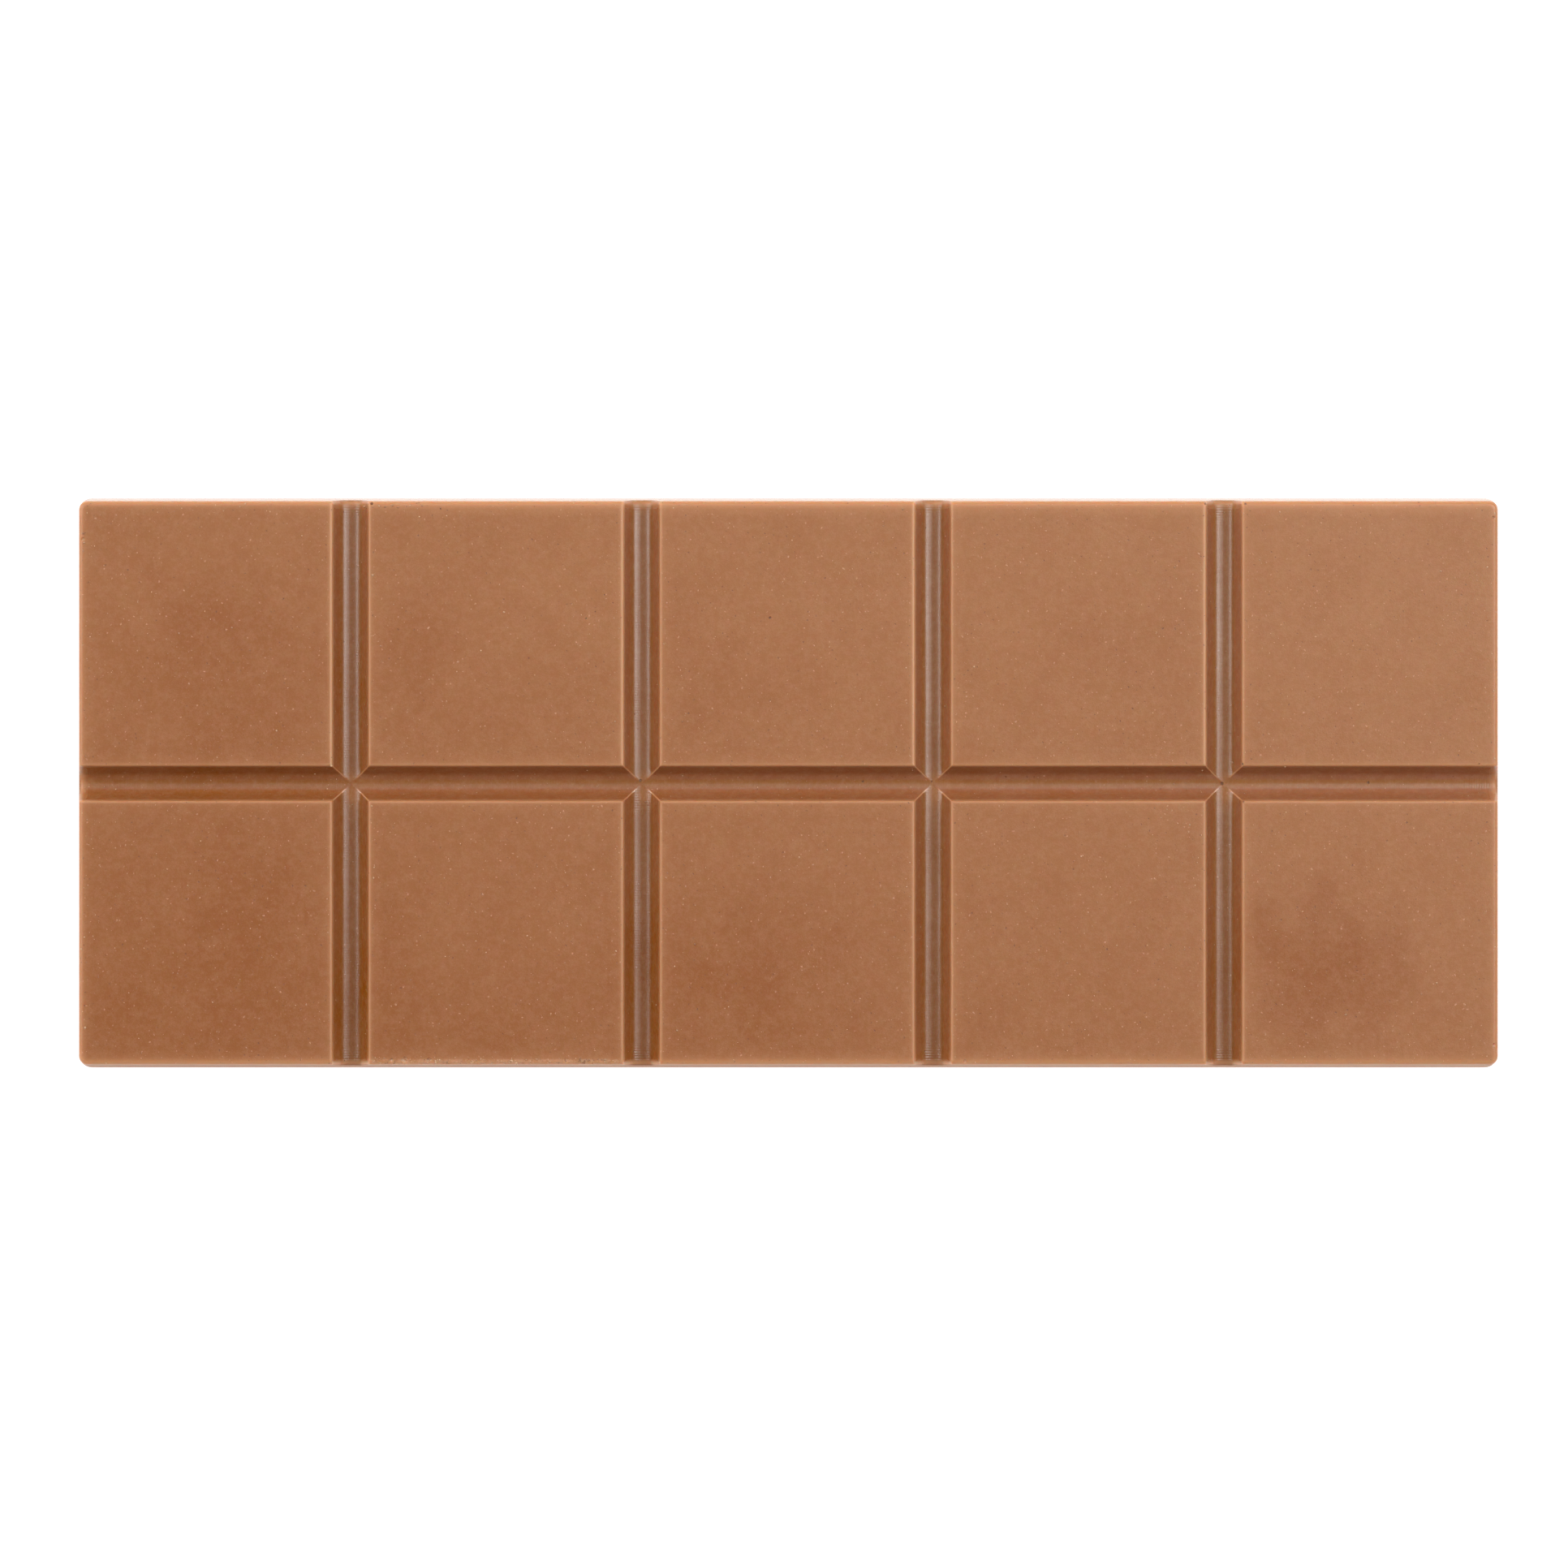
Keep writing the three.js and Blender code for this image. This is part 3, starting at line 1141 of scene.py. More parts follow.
    # Painted light: the bloom, and so the paleness, grows towards the back right.
    rise: tuple[float, float] = (0.0031, 0.0065)
    bends: tuple[Swell, Swell] = (
        Swell(5.0 * MM, seed=31, height=1.0 * MM),
        Swell(5.0 * MM, seed=32, height=1.0 * MM),
    )
    mottles: tuple[Swell, Swell] = (
        Swell(8.0 * MM, seed=33, height=0.03),
        Swell(2.5 * MM, seed=36, height=0.01),
    )
    face_depth: float = 3.0 * MM
    face_edge: Fade = Fade(0.0, 0.05 * MM)
    polish_and_shade: Fade = Fade(0.05 * MM, 0.5 * MM)
    back_height: Fade = Fade(0.25 * MM, 0.05 * MM)
    front_side: Fade = Fade(0.1 * MM, -0.1 * MM)
    front_height: Fade = Fade(0.0, 0.5 * MM)
    ridge_width: Fade = Fade(0.06 * MM, 0.0)
    ridge_span: tuple[float, float] = (0.5 * MM, 1.6 * MM)
    ridge_wear_and_glow: float = 0.8
    lip_wear_and_highlight: tuple[float, float, float, float, float] = (0.95, 0.62, 0.48, 0.48, 0.42)
    lip_rise: Fade = Fade(-0.16 * MM, 0.06 * MM)
    lip_fall: Fade = Fade(0.38 * MM, 0.10 * MM)
    front_wear_and_highlight: float = 0.4
    front_band: tuple[Fade, Fade] = (Fade(0.0, 0.08 * MM), Fade(0.42 * MM, 0.26 * MM))
    front_reach: float = 0.6 * MM
    wall_start: tuple[float, float] = (0.8, 0.2)
    wall_rise: float = 0.4
    wall_end: Fade = Fade(0.0, -0.3 * MM)
    rim_reach: float = 0.42 * MM
    rim_power: float = 2.8
    rim_depth: Fade = Fade(0.7 * MM, 0.1 * MM)
    rim_ends: float = 0.7
    long_side: Fade = Fade(1.5 * MM, 0.5 * MM)
    back_rim: float = 0.4
    back_rim_start: Fade = Fade(-45.0 * MM, -25.0 * MM)
    lip_glow: float = 0.12
    lip_glow_rise: Fade = Fade(-0.1 * MM, 0.1 * MM)
    lip_glow_fall: Fade = Fade(1.3 * MM, 0.1 * MM)
    end_depth: Fade = Fade(0.3 * MM, 0.6 * MM)
    end_reach: tuple[float, float] = (0.55 * MM, 0.88 * MM)
    end_front: float = 1.0 * MM
    scuff_inset: Fade = Fade(0.60 * MM, 0.35 * MM)
    scuff_overhang: float = 0.05 * MM
    scuff_depth: Fade = Fade(0.8 * MM, 0.3 * MM)
    scuff_run: float = 1.0 * MM
    ripple_width: Fade = Fade(0.78 * MM, 0.624 * MM)
    ripple_mean: float = 0.75
    ripple_beat: Swell = Swell(5.0 * MM, seed=34, height=0.25)
    ripple_row: float = 0.8
    ripple_ends: tuple[Fade, Fade] = (Fade(1.8 * MM, 0.0), Fade(4.5 * MM, 0.0))
    ripple_growth: float = 2.0
    ripple_overlap: float = 0.2 * MM

    def bloom(self, spots: Spots) -> np.ndarray:
        """A slope over the bar, which is painted light, less each patch's strength times
        exp(-r^fade), r bent by a swell.

        Args:
            spots: Where the bar's vertices lie.

        Returns:
            From about 0 for clear to 1 for full bloom.
        """
        flat = spots.flat
        bent = flat + np.stack([swell.at(flat) for swell in self.bends], -1)
        thin = np.zeros(len(flat))
        for patch in self.patches:
            across = (bent / MM - [patch.x, patch.y]) / [patch.reach_x, patch.reach_y]
            thin += patch.strength * np.exp(-np.hypot(*across.T) ** self.fade)
        # This slope is painted light, paler towards the back right.
        slope = self.middle + (flat / MM) @ self.rise
        return slope - self.contrast * thin + sum(swell.at(flat) for swell in self.mottles)

    def moulded(self, spots: Spots) -> np.ndarray:
        """The moulded face: 1 on it and 0 on the sides and the back."""
        return (spots.below < self.face_depth) * self.face_edge.at(spots.inset)

    def front(self, spots: Spots) -> np.ndarray:
        """The front side: 1 on it and 0 elsewhere."""
        return self.front_side.at(spots.from_front) * self.front_height.at(spots.z)

    def worn(self, spots: Spots) -> np.ndarray:
        """The wear of the mitred edges, the grooves' lips and the front edge, with the highlight
        and glow painted on them.

        Args:
            spots: Where the bar's vertices lie.

        Returns:
            From 0 to 1.
        """
        near, far = self.ridge_span
        ridge = self.ridge_width.at(np.abs(spots.across - spots.along))
        ridge *= (spots.along > near) & (spots.along < far)

        # Lips that face the brighter lights get more painted highlight.
        left_back, left_front, right, lower, upper = self.lip_wear_and_highlight
        behind = spots.from_row > 0
        wear = np.where(
            spots.across < spots.along,
            np.where(spots.from_groove > 0, right, np.where(behind, left_back, left_front)),
            np.where(behind, upper, lower),
        )
        beyond = spots.nearest - spots.tablet.section.lip_start
        lip = self.lip_rise.at(beyond) * self.lip_fall.at(beyond) * wear

        outer, inner = self.front_band
        front_edge = outer.at(spots.inset) * inner.at(spots.inset)
        front_edge *= self.front_wear_and_highlight * (spots.from_front < self.front_reach)
        moulded = self.moulded(spots)
        return np.maximum(np.maximum(self.ridge_wear_and_glow * ridge, lip) * moulded, front_edge)

    def wall(self, spots: Spots) -> np.ndarray:
        """The grooves' walls, from the foot to the lip, where a sheen is painted.

        Args:
            spots: Where the bar's vertices lie.

        Returns:
            1 on a wall and 0 elsewhere.
        """
        foot = spots.tablet.section.bottom_half_width
        start = np.where(spots.across < spots.along, *self.wall_start)
        begun = Fade(0.0, self.wall_rise).at(spots.nearest / foot - start)
        ended = self.wall_end.at(spots.nearest - spots.tablet.section.reach)
        return self.moulded(spots) * begun * ended

    def rim(self, spots: Spots) -> np.ndarray:
        """The painted glow along the rim, 1 / (1 + (inset / reach)^power), and beside the lips.

        Args:
            spots: Where the bar's vertices lie.

        Returns:
            From 0 to 1 at the very edge.
        """
        long_side = self.long_side.at(spots.tablet.half[1] - np.abs(spots.y))
        wider = long_side * (spots.y > 0) * self.back_rim_start.at(spots.x)
        reach = self.rim_reach * (1 + self.back_rim * wider)
        strength = self.rim_ends + (1 - self.rim_ends) * long_side
        rim = self.rim_depth.at(spots.below) * strength
        rim /= 1 + (spots.inset / reach) ** self.rim_power
        beyond = spots.nearest - spots.tablet.section.lip_start
        lip_glow = self.lip_glow_rise.at(beyond) * self.lip_glow_fall.at(beyond) * self.moulded(spots)
        return np.maximum(rim, self.lip_glow * lip_glow)

    def end(self, spots: Spots) -> np.ndarray:
        """The painted glow at the ends of the grooves, which are also dull.

        Args:
            spots: Where the bar's vertices lie.

        Returns:
            1 at an end, 0 farther in and on the squares.
        """
        reach = np.where(spots.from_front < self.end_front, *self.end_reach)
        end = Fade(1.0, 0.0).at(spots.inset / reach)
        return self.moulded(spots) * self.end_depth.at(spots.below) * end

    def scuffed(self, spots: Spots) -> np.ndarray:
        """The scuffs along the worn edge.

        Args:
            spots: Where the bar's vertices lie.

        Returns:
            1 where it is scuffed and 0 elsewhere.
        """
        start, end = WORN_EDGE
        beside = Fade(start - self.scuff_run, start).at(spots.x)
        beside *= Fade(end + self.scuff_run, end).at(spots.x)
        strip = self.scuff_inset.at(spots.from_front) * (spots.from_front > -self.scuff_overhang)
        return beside * strip * self.scuff_depth.at(spots.below)

    def ripples(self, spots: Spots) -> tuple[np.ndarray, np.ndarray]:
        """The ripples in the grooves' bottoms, which grow towards the ends.

        Args:
            spots: Where the bar's vertices lie.

        Returns:
            Their strength in the grooves across the bar and in the one along it.
        """
        beat = self.ripple_mean + self.ripple_beat.at(spots.flat)
        half_x, half_y = spots.tablet.half
        end_y = self.ripple_ends[0].at(half_y - np.abs(spots.y))
        end_x = self.ripple_ends[1].at(half_x - np.abs(spots.x))
        comb = self.ripple_width.at(spots.across)
        comb *= spots.across < spots.along + self.ripple_overlap
        strokes = self.ripple_width.at(spots.along) * (spots.along < spots.across)
        moulded = self.moulded(spots)
        return (
            moulded * comb * (beat + self.ripple_growth * end_y),
            moulded * strokes * (self.ripple_row * beat + self.ripple_growth * end_x),
        )

    def write(self, mesh: bpy.types.Mesh, tablet: Tablet) -> None:
        """Writes every marking into the mesh as an attribute.

        Args:
            mesh: The bar's mesh, after all cutting.
            tablet: The bar's sizes.
        """
        spots = Spots.of(mesh, tablet)
        front = self.front(spots)
        ripple_across, ripple_along = self.ripples(spots)
        set_mark(mesh, Mark.BLOOM_AND_LIGHT, self.bloom(spots))
        set_mark(mesh, Mark.POLISH_AND_SHADE, self.polish_and_shade.at(spots.below) * (1 - front))
        set_mark(mesh, Mark.BACK, np.maximum(self.back_height.at(spots.z), front))
        set_mark(mesh, Mark.WALL_SHEEN, self.wall(spots))
        set_mark(mesh, Mark.WEAR_AND_HIGHLIGHT, self.worn(spots))
        set_mark(mesh, Mark.RIM_GLOW, self.rim(spots))
        set_mark(mesh, Mark.DULL_GLOWING_END, self.end(spots))
        set_mark(mesh, Mark.SCUFFED, self.scuffed(spots))
        set_mark(mesh, Mark.RIPPLE_ACROSS, ripple_across)
        set_mark(mesh, Mark.RIPPLE_ALONG, ripple_along)


# Finishes


@dataclass(frozen=True)
class Noise:
    """Cloudy noise between about 0.3 and 0.7.

    Attributes:
        scale: Features for each millimetre.
        detail: How many finer layers are added.
        roughness: How strong each layer is, where the one before it is one.
    """

    scale: float
    detail: float
    roughness: float = 0.5


class Nodes:
    """Short ways to lay out a material's nodes."""

    def __init__(self, name: str) -> None:
        """Starts an empty material.

        Args:
            name: The material's name.
        """
        self.material = bpy.data.materials.new(name)
        self.material.use_nodes = True
        self.tree = self.material.node_tree
        self.tree.nodes.clear()

    def add(self, kind: str, **settings: object) -> bpy.types.Node:
        """Adds a node.

        Args:
            kind: Its type.
            **settings: Its properties, by name.

        Returns:
            The node.
        """
        node = self.tree.nodes.new(kind)
        for key, value in settings.items():
            setattr(node, key, value)
        return node

    def link(self, source: bpy.types.NodeSocket, target: bpy.types.NodeSocket) -> None:
        """Joins an output to an input."""
        self.tree.links.new(source, target)

    def put(self, value: object, target: bpy.types.NodeSocket) -> None:
        """Gives an input its value: an output to link, a colour or a number.

        Args:
            value: The output, the colour as a tuple, or the number.
            target: The input.
        """
        if isinstance(value, bpy.types.NodeSocket):
            self.link(value, target)
        elif isinstance(value, tuple):
            target.default_value = (*value, 1.0)
        else:
            target.default_value = value

    def math(self, operation: str, *values: object, clamp: bool = False) -> bpy.types.NodeSocket:
        """A sum, product or other operation on numbers and outputs.

        Args:
            operation: The operation's name, such as MULTIPLY.
            *values: Numbers, or outputs to link, in the operation's order.
            clamp: Whether the result is kept between 0 and 1.

        Returns:
            The result's output.
        """
        node = self.add("ShaderNodeMath", operation=operation, use_clamp=clamp)
        for socket, value in zip(node.inputs, values):
            self.put(value, socket)
        return node.outputs[0]

    def about(
        self, noise: bpy.types.NodeSocket, swing: float, mean: float
    ) -> bpy.types.NodeSocket:
        """Noise times a swing, moved so that noise of a half gives the mean."""
        return self.math("MULTIPLY_ADD", noise, swing, mean - swing / 2)

    def ramp(
        self,
        value: bpy.types.NodeSocket,
        low: float,
        high: object,
        to_low: float = 0.0,
        to_high: float = 1.0,
    ) -> bpy.types.NodeSocket:
        """Carries a stretch of numbers over to another, with soft ends and no overshoot.

        Args:
            value: The output to read.
            low: Where the stretch begins.
            high: Where it ends, a number or an output.
            to_low: Result at its beginning.
            to_high: Result at its end.

        Returns:
            The result's output.
        """
        node = self.add("ShaderNodeMapRange", interpolation_type="SMOOTHSTEP")
        self.link(value, node.inputs["Value"])
        node.inputs["From Min"].default_value = low
        self.put(high, node.inputs["From Max"])
        node.inputs["To Min"].default_value = to_low
        node.inputs["To Max"].default_value = to_high
        return node.outputs["Result"]

    def mix(self, factor: object, first: object, second: object) -> bpy.types.NodeSocket:
        """Mixes two numbers: the first where the factor is 0, the second where it is 1.

        Args:
            factor: Share of the second number.
            first: A number or an output.
            second: A number or an output.

        Returns:
            The mixed number's output.
        """
        node = self.add("ShaderNodeMix", data_type="FLOAT")
        for number, value in ((0, factor), (2, first), (3, second)):
            self.put(value, node.inputs[number])
        return node.outputs[0]

    def blend(
        self, factor: object, first: object, second: object, mode: str = "MIX"
    ) -> bpy.types.NodeSocket:
        """Mixes two colours.

        Args:
            factor: Share of the second colour, a number or an output.
            first: A colour or an output.
            second: A colour or an output.
            mode: How they are mixed.

        Returns:
            The mixed colour's output.
        """
        node = self.add("ShaderNodeMix", data_type="RGBA", blend_type=mode)
        for number, value in ((0, factor), (6, first), (7, second)):
            self.put(value, node.inputs[number])
        return node.outputs[2]

    def noise(self, place: bpy.types.NodeSocket, noise: Noise) -> bpy.types.Node:
        """A node of noise at a place in millimetres.

        Args:
            place: Where the surface is.
            noise: The noise's features.

        Returns:
            The node.
        """
        node = self.add("ShaderNodeTexNoise", noise_dimensions="3D")
        self.link(place, node.inputs["Vector"])
        node.inputs["Scale"].default_value = noise.scale
        node.inputs["Detail"].default_value = noise.detail
        node.inputs["Roughness"].default_value = noise.roughness
        return node

    def clouds(self, place: bpy.types.NodeSocket, noise: Noise) -> bpy.types.NodeSocket:
        """Noise as one number."""
        return self.noise(place, noise).outputs["Fac"]

    def torn(
        self, place: bpy.types.NodeSocket, noise: Noise, shift: float
    ) -> bpy.types.NodeSocket:
        """A place that is shifted by noise, which makes what is drawn there ragged.

        Args:
            place: Where the surface is, in millimetres.
            noise: The noise's features.
            shift: How far it is shifted, in millimetres.

        Returns:
            The shifted place's output.
        """
        moved = self.add("ShaderNodeVectorMath", operation="MULTIPLY_ADD")
        self.link(self.noise(place, noise).outputs["Color"], moved.inputs[0])
        moved.inputs[1].default_value = (shift, shift, shift)
        self.link(place, moved.inputs[2])
        return moved.outputs[0]

    def mark(self, mark: Mark) -> bpy.types.NodeSocket:
        """A number that the mesh holds for each vertex."""
        return self.add("ShaderNodeAttribute", attribute_name=mark.value).outputs["Fac"]

    def parts(self, place: bpy.types.NodeSocket) -> tuple[bpy.types.NodeSocket, ...]:
        """X, Y and Z of a place.

        Args:
            place: The place's output.

        Returns:
            Three outputs.
        """
        node = self.add("ShaderNodeSeparateXYZ")
        self.link(place, node.inputs[0])
        return tuple(node.outputs)

    def millimetres(self) -> bpy.types.NodeSocket:
        """Places on the object in millimetres, so that noise scales are per millimetre.

        Returns:
            The places' output.
        """
        coordinates = self.add("ShaderNodeTexCoord").outputs["Object"]
        mapping = self.add("ShaderNodeMapping")
        mapping.inputs["Scale"].default_value = (1 / MM, 1 / MM, 1 / MM)
        self.link(coordinates, mapping.inputs["Vector"])
        return mapping.outputs["Vector"]

    def surface(self, shader: bpy.types.NodeSocket) -> None:
        """Makes a shader the material's surface."""
        self.link(shader, self.add("ShaderNodeOutputMaterial").inputs["Surface"])

    def skin(
        self, colour: bpy.types.NodeSocket, relief: bpy.types.NodeSocket
    ) -> dict[str, bpy.types.NodeSocket]:
        """Gives the material a solid skin.

        Args:
            colour: The base colour.
            relief: Height of the fine relief, in millimetres.

        Returns:
            The skin's inputs, by name.
        """
        bump = self.add("ShaderNodeBump")
        bump.inputs["Distance"].default_value = MM
        self.link(relief, bump.inputs["Height"])
        principled = self.add("ShaderNodeBsdfPrincipled")
        self.link(colour, principled.inputs["Base Color"])
        self.link(bump.outputs["Normal"], principled.inputs["Normal"])
        self.surface(principled.outputs[0])
        return principled.inputs


@dataclass(frozen=True)
class Specks:
    """Two kinds of round specks at random places, in the cells of a Voronoi pattern.

    Attributes:
        scale: Cells for each millimetre.
        radius: The largest speck's radius in millimetres.
        smallest: The smallest one's, where the largest's is one.
        faintness: Power of the random number from 0 to 1 that is a speck's strength; a high one
            makes most of them faint.
        pale_share: Share of the cells that hold a pale speck.
        dark_start: The dark specks are in the cells whose draw is above this.
        tear_scale: Waves in an outline for each radius.
        tear_detail: Finer waves in it.
        tear_shift: How far it is drawn out of shape, in millimetres.
    """

    scale: float = 2.8
    radius: float = 0.11
    smallest: float = 1 / 3
    faintness: float = 3.0
    pale_share: float = 0.5
    dark_start: float = 0.6
    tear_scale: float = 0.5
    tear_detail: float = 1.0
    tear_shift: float = 0.25

    def draw(
        self, nodes: Nodes, place: bpy.types.NodeSocket
    ) -> tuple[bpy.types.NodeSocket, bpy.types.NodeSocket]:
        """Draws the specks.

        Args:
            nodes: The material's nodes.
            place: Where the surface is, in millimetres.

        Returns:
            The pale ones and the dark ones, each 0 outside a speck and most in its middle.
        """
        tears = Noise(self.tear_scale / self.radius, self.tear_detail)
        cells = nodes.add("ShaderNodeTexVoronoi", feature="F1", voronoi_dimensions="3D")
        nodes.link(nodes.torn(place, tears, self.tear_shift), cells.inputs["Vector"])
        cells.inputs["Scale"].default_value = self.scale
        drawn = nodes.add("ShaderNodeSeparateColor")
        nodes.link(cells.outputs["Color"], drawn.inputs[0])
        kind, size, strength = drawn.outputs

        least, most = self.smallest * self.radius * self.scale, self.radius * self.scale
        reach = nodes.math("MULTIPLY_ADD", size, most - least, least)
        disc = nodes.ramp(cells.outputs["Distance"], 0.0, reach, to_low=1.0, to_high=0.0)
        disc = nodes.math("MULTIPLY", disc, nodes.math("POWER", strength, self.faintness))
        pale = nodes.math("LESS_THAN", kind, self.pale_share)
        dark = nodes.math("GREATER_THAN", kind, self.dark_start)
        return nodes.math("MULTIPLY", disc, pale), nodes.math("MULTIPLY", disc, dark)


@dataclass(frozen=True)
class Pattern:
    """What the chocolate's colour and relief are both worked out from.

    Attributes:
        place: Where the surface is, in millimetres.
        clouds: The fine mottling.
        pale: The pale specks.
        dark: The pinholes, sunk in the relief and painted with shade.
    """

    place: bpy.types.NodeSocket
    clouds: bpy.types.NodeSocket
    pale: bpy.types.NodeSocket
    dark: bpy.types.NodeSocket


@dataclass(frozen=True)
class ChocolateFinish:
    """Milk chocolate that has set against a mould.

    Colours are linear. The deep tone lies in soft patches where the surface is clear, and the pale
    tone where it has a faint bloom. Sizes in the nodes are in millimetres.

    Attributes:
        name: The material's name.
        deep: Colour where the bloom is gone.
        pale: Colour under full bloom.
        fleck: Colour of the pale specks and of broken places.
        worn: Colour of the lips and the ridges: their wear, and the highlight and glow painted on
            them.
        rim: Colour of the glow painted along the outer edge and at the grooves' ends.
        pit_shade: Colour of the shade painted inside the pinholes and bubbles.
        pink: What the colour is multiplied with where it drifts to pink.
        olive: The same where it drifts to olive.
        painted_shade: The same in the grooves and on the sides: painted shade, darker and less red.
        wall: The same on the grooves' walls: a painted sheen that makes them bluer.
        clouds: The fine mottling.
        cloud_bloom: How far the bloom swings with it.
        drift: The slow drift of the hue.
        specks: The pale specks and the pinholes.
        fleck_share: How much of the fleck's colour shows in the palest speck.
        grain_share: How much of it comes and goes in the fine grain.
        grain_mean: How much of it shows everywhere.
        broken_share: How much of it shows where the surface is scuffed or broken.
        scuff_clouds: Mottling between which values the scuffs begin.
        wear_and_highlight_share: How much of the worn colour shows on the lips and ridges, as wear
            and painted highlight.
        rim_glow_share: How much of the painted glow's colour shows at the very edge.
        end_glow_share: How much of the glow's colour is painted on the grooves' ends.
        pit_shade_share: How much of the painted shade shows in the darkest pinholes.
        hollow_shade_share: How much of it shows inside a burst bubble.
        pit_depth: Depth of a pinhole.
        fleck_height: Height of a pale speck.
        grain_height: Height of the cloudy grain on the squares.
        groove_grain: Height of it in the grooves.
        ripple_pitch: From one ripple of the grooves' bottoms to the next.
        ripple_height: Half of the height from a ripple's trough to its crest.
        square_roughness: Of the squares.
        roughness_swing: How far it swings with the mottling.
        groove_roughness: Of the grooves, which have kept the mould's gloss.
        end_roughness: Of the grooves' ends.
        back_roughness: Of the back, which set in the air.
        gloss: Strength of reflections, where 0.5 is that of common plastic.
        glow_depth: How far light spreads under the surface, in metres.
        glow: Relative spread of red, green and blue.
        glow_share: Share of the light that spreads.
    """

    name: str = "milk_chocolate_skin"
    deep: tuple[float, float, float] = (0.349, 0.099, 0.000)
    pale: tuple[float, float, float] = (0.459, 0.189, 0.056)
    fleck: tuple[float, float, float] = (0.70, 0.38, 0.22)
    # Pale wear, and the highlight and glow painted on lips, ridges and the front edge.
    worn: tuple[float, float, float] = (0.72, 0.41, 0.21)
    # Painted glow of light that shines through the edges.
    rim: tuple[float, float, float] = (0.635, 0.295, 0.12)
    # Painted shade inside pinholes and burst bubbles.
    pit_shade: tuple[float, float, float] = (0.16, 0.05, 0.02)
    pink: tuple[float, float, float] = (1.0, 0.94, 1.05)
    olive: tuple[float, float, float] = (1.0, 1.06, 0.93)
    # Painted shade: the grooves and the sides are made darker.
    painted_shade: tuple[float, float, float] = (0.88, 0.93, 0.95)
    # Painted sheen: the grooves' walls are made bluer, as reflections there would.
    wall: tuple[float, float, float] = (1.04, 1.02, 1.9)
    clouds: Noise = Noise(1.5, 4.0, 0.9)
    cloud_bloom: float = 0.25
    drift: Noise = Noise(0.9, 2.0, 0.7)
    specks: Specks = Specks()
    fleck_share: float = 1.0
    grain_share: float = 0.60
    grain_mean: float = 0.04
    broken_share: float = 0.6
    scuff_clouds: tuple[float, float] = (0.45, 0.53)
    wear_and_highlight_share: float = 0.8
    rim_glow_share: float = 1.0
    end_glow_share: float = 0.7
    pit_shade_share: float = 1.0
    hollow_shade_share: float = 0.5
    pit_depth: float = 0.012
    fleck_height: float = 0.01
    grain_height: float = 0.02
    groove_grain: float = 0.001
    ripple_pitch: float = 0.212
    ripple_height: float = 0.0009
    square_roughness: float = 0.42
    roughness_swing: float = 0.2
    groove_roughness: float = 0.23
    end_roughness: float = 0.5
    back_roughness: float = 0.55
    gloss: float = 0.75
    glow_depth: float = 0.5 * MM
    glow: tuple[float, float, float] = (1.0, 0.42, 0.2)
    glow_share: float = 1.0

    def tone(self, nodes: Nodes, pattern: Pattern) -> bpy.types.NodeSocket:
        """The bloom's tone, which drifts in hue, with painted shade in the grooves, a painted sheen
        on their walls, painted glow on the rim and groove ends, and pale wear with painted
        highlight.

        Args:
            nodes: The material's nodes.
            pattern: What its parts share.

        Returns:
            The tone's output.
        """
        bloom = nodes.about(pattern.clouds, self.cloud_bloom, 0.0)
        base = nodes.blend(
            nodes.math("ADD", nodes.mark(Mark.BLOOM_AND_LIGHT), bloom), self.deep, self.pale
        )
        drift = nodes.blend(nodes.clouds(pattern.place, self.drift), self.pink, self.olive)
        base = nodes.blend(1.0, base, drift, "MULTIPLY")
        # Painted shade in the grooves and on the sides, and a painted sheen on the grooves' walls.
        for mark, tint in ((Mark.POLISH_AND_SHADE, self.painted_shade), (Mark.WALL_SHEEN, self.wall)):
            base = nodes.blend(nodes.mark(mark), base, tint, "MULTIPLY")
        # Painted glow along the rim and at the grooves' ends.
        rim = nodes.math("MULTIPLY", nodes.mark(Mark.RIM_GLOW), self.rim_glow_share)
        end = nodes.math("MULTIPLY", nodes.mark(Mark.DULL_GLOWING_END), self.end_glow_share)
        base = nodes.blend(nodes.math("MAXIMUM", rim, end), base, self.rim)
        # Pale wear with painted highlight on the lips, ridges and front edge.
        lip = nodes.math("MULTIPLY", nodes.mark(Mark.WEAR_AND_HIGHLIGHT), self.wear_and_highlight_share)
        return nodes.blend(lip, base, self.worn)

    def colour(self, nodes: Nodes, pattern: Pattern) -> bpy.types.NodeSocket:
        """The tone with its grain, pale specks and scuffs, and shade painted in pinholes and
        bubbles.

        Args:
            nodes: The material's nodes.
            pattern: What its parts share.

        Returns:
            The colour's output.
        """
        ragged = nodes.ramp(pattern.clouds, *self.scuff_clouds)
        scuffed = nodes.math("MULTIPLY", nodes.mark(Mark.SCUFFED), ragged)
        broken = nodes.math("MAXIMUM", nodes.mark(Mark.BROKEN), scuffed)
        grain = nodes.about(pattern.clouds, self.grain_share, self.grain_mean)
        light = nodes.math("MULTIPLY_ADD", pattern.pale, self.fleck_share, grain, clamp=True)
        light = nodes.math("MAXIMUM", light, nodes.math("MULTIPLY", broken, self.broken_share))
        flecked = nodes.blend(light, self.tone(nodes, pattern), self.fleck)
        # Painted shade in the pinholes and burst bubbles.
        dark = nodes.math("MULTIPLY", pattern.dark, self.pit_shade_share)
        hollow = nodes.math("MULTIPLY", nodes.mark(Mark.SHADED_HOLLOW), self.hollow_shade_share)
        return nodes.blend(nodes.math("MAXIMUM", dark, hollow), flecked, self.pit_shade)

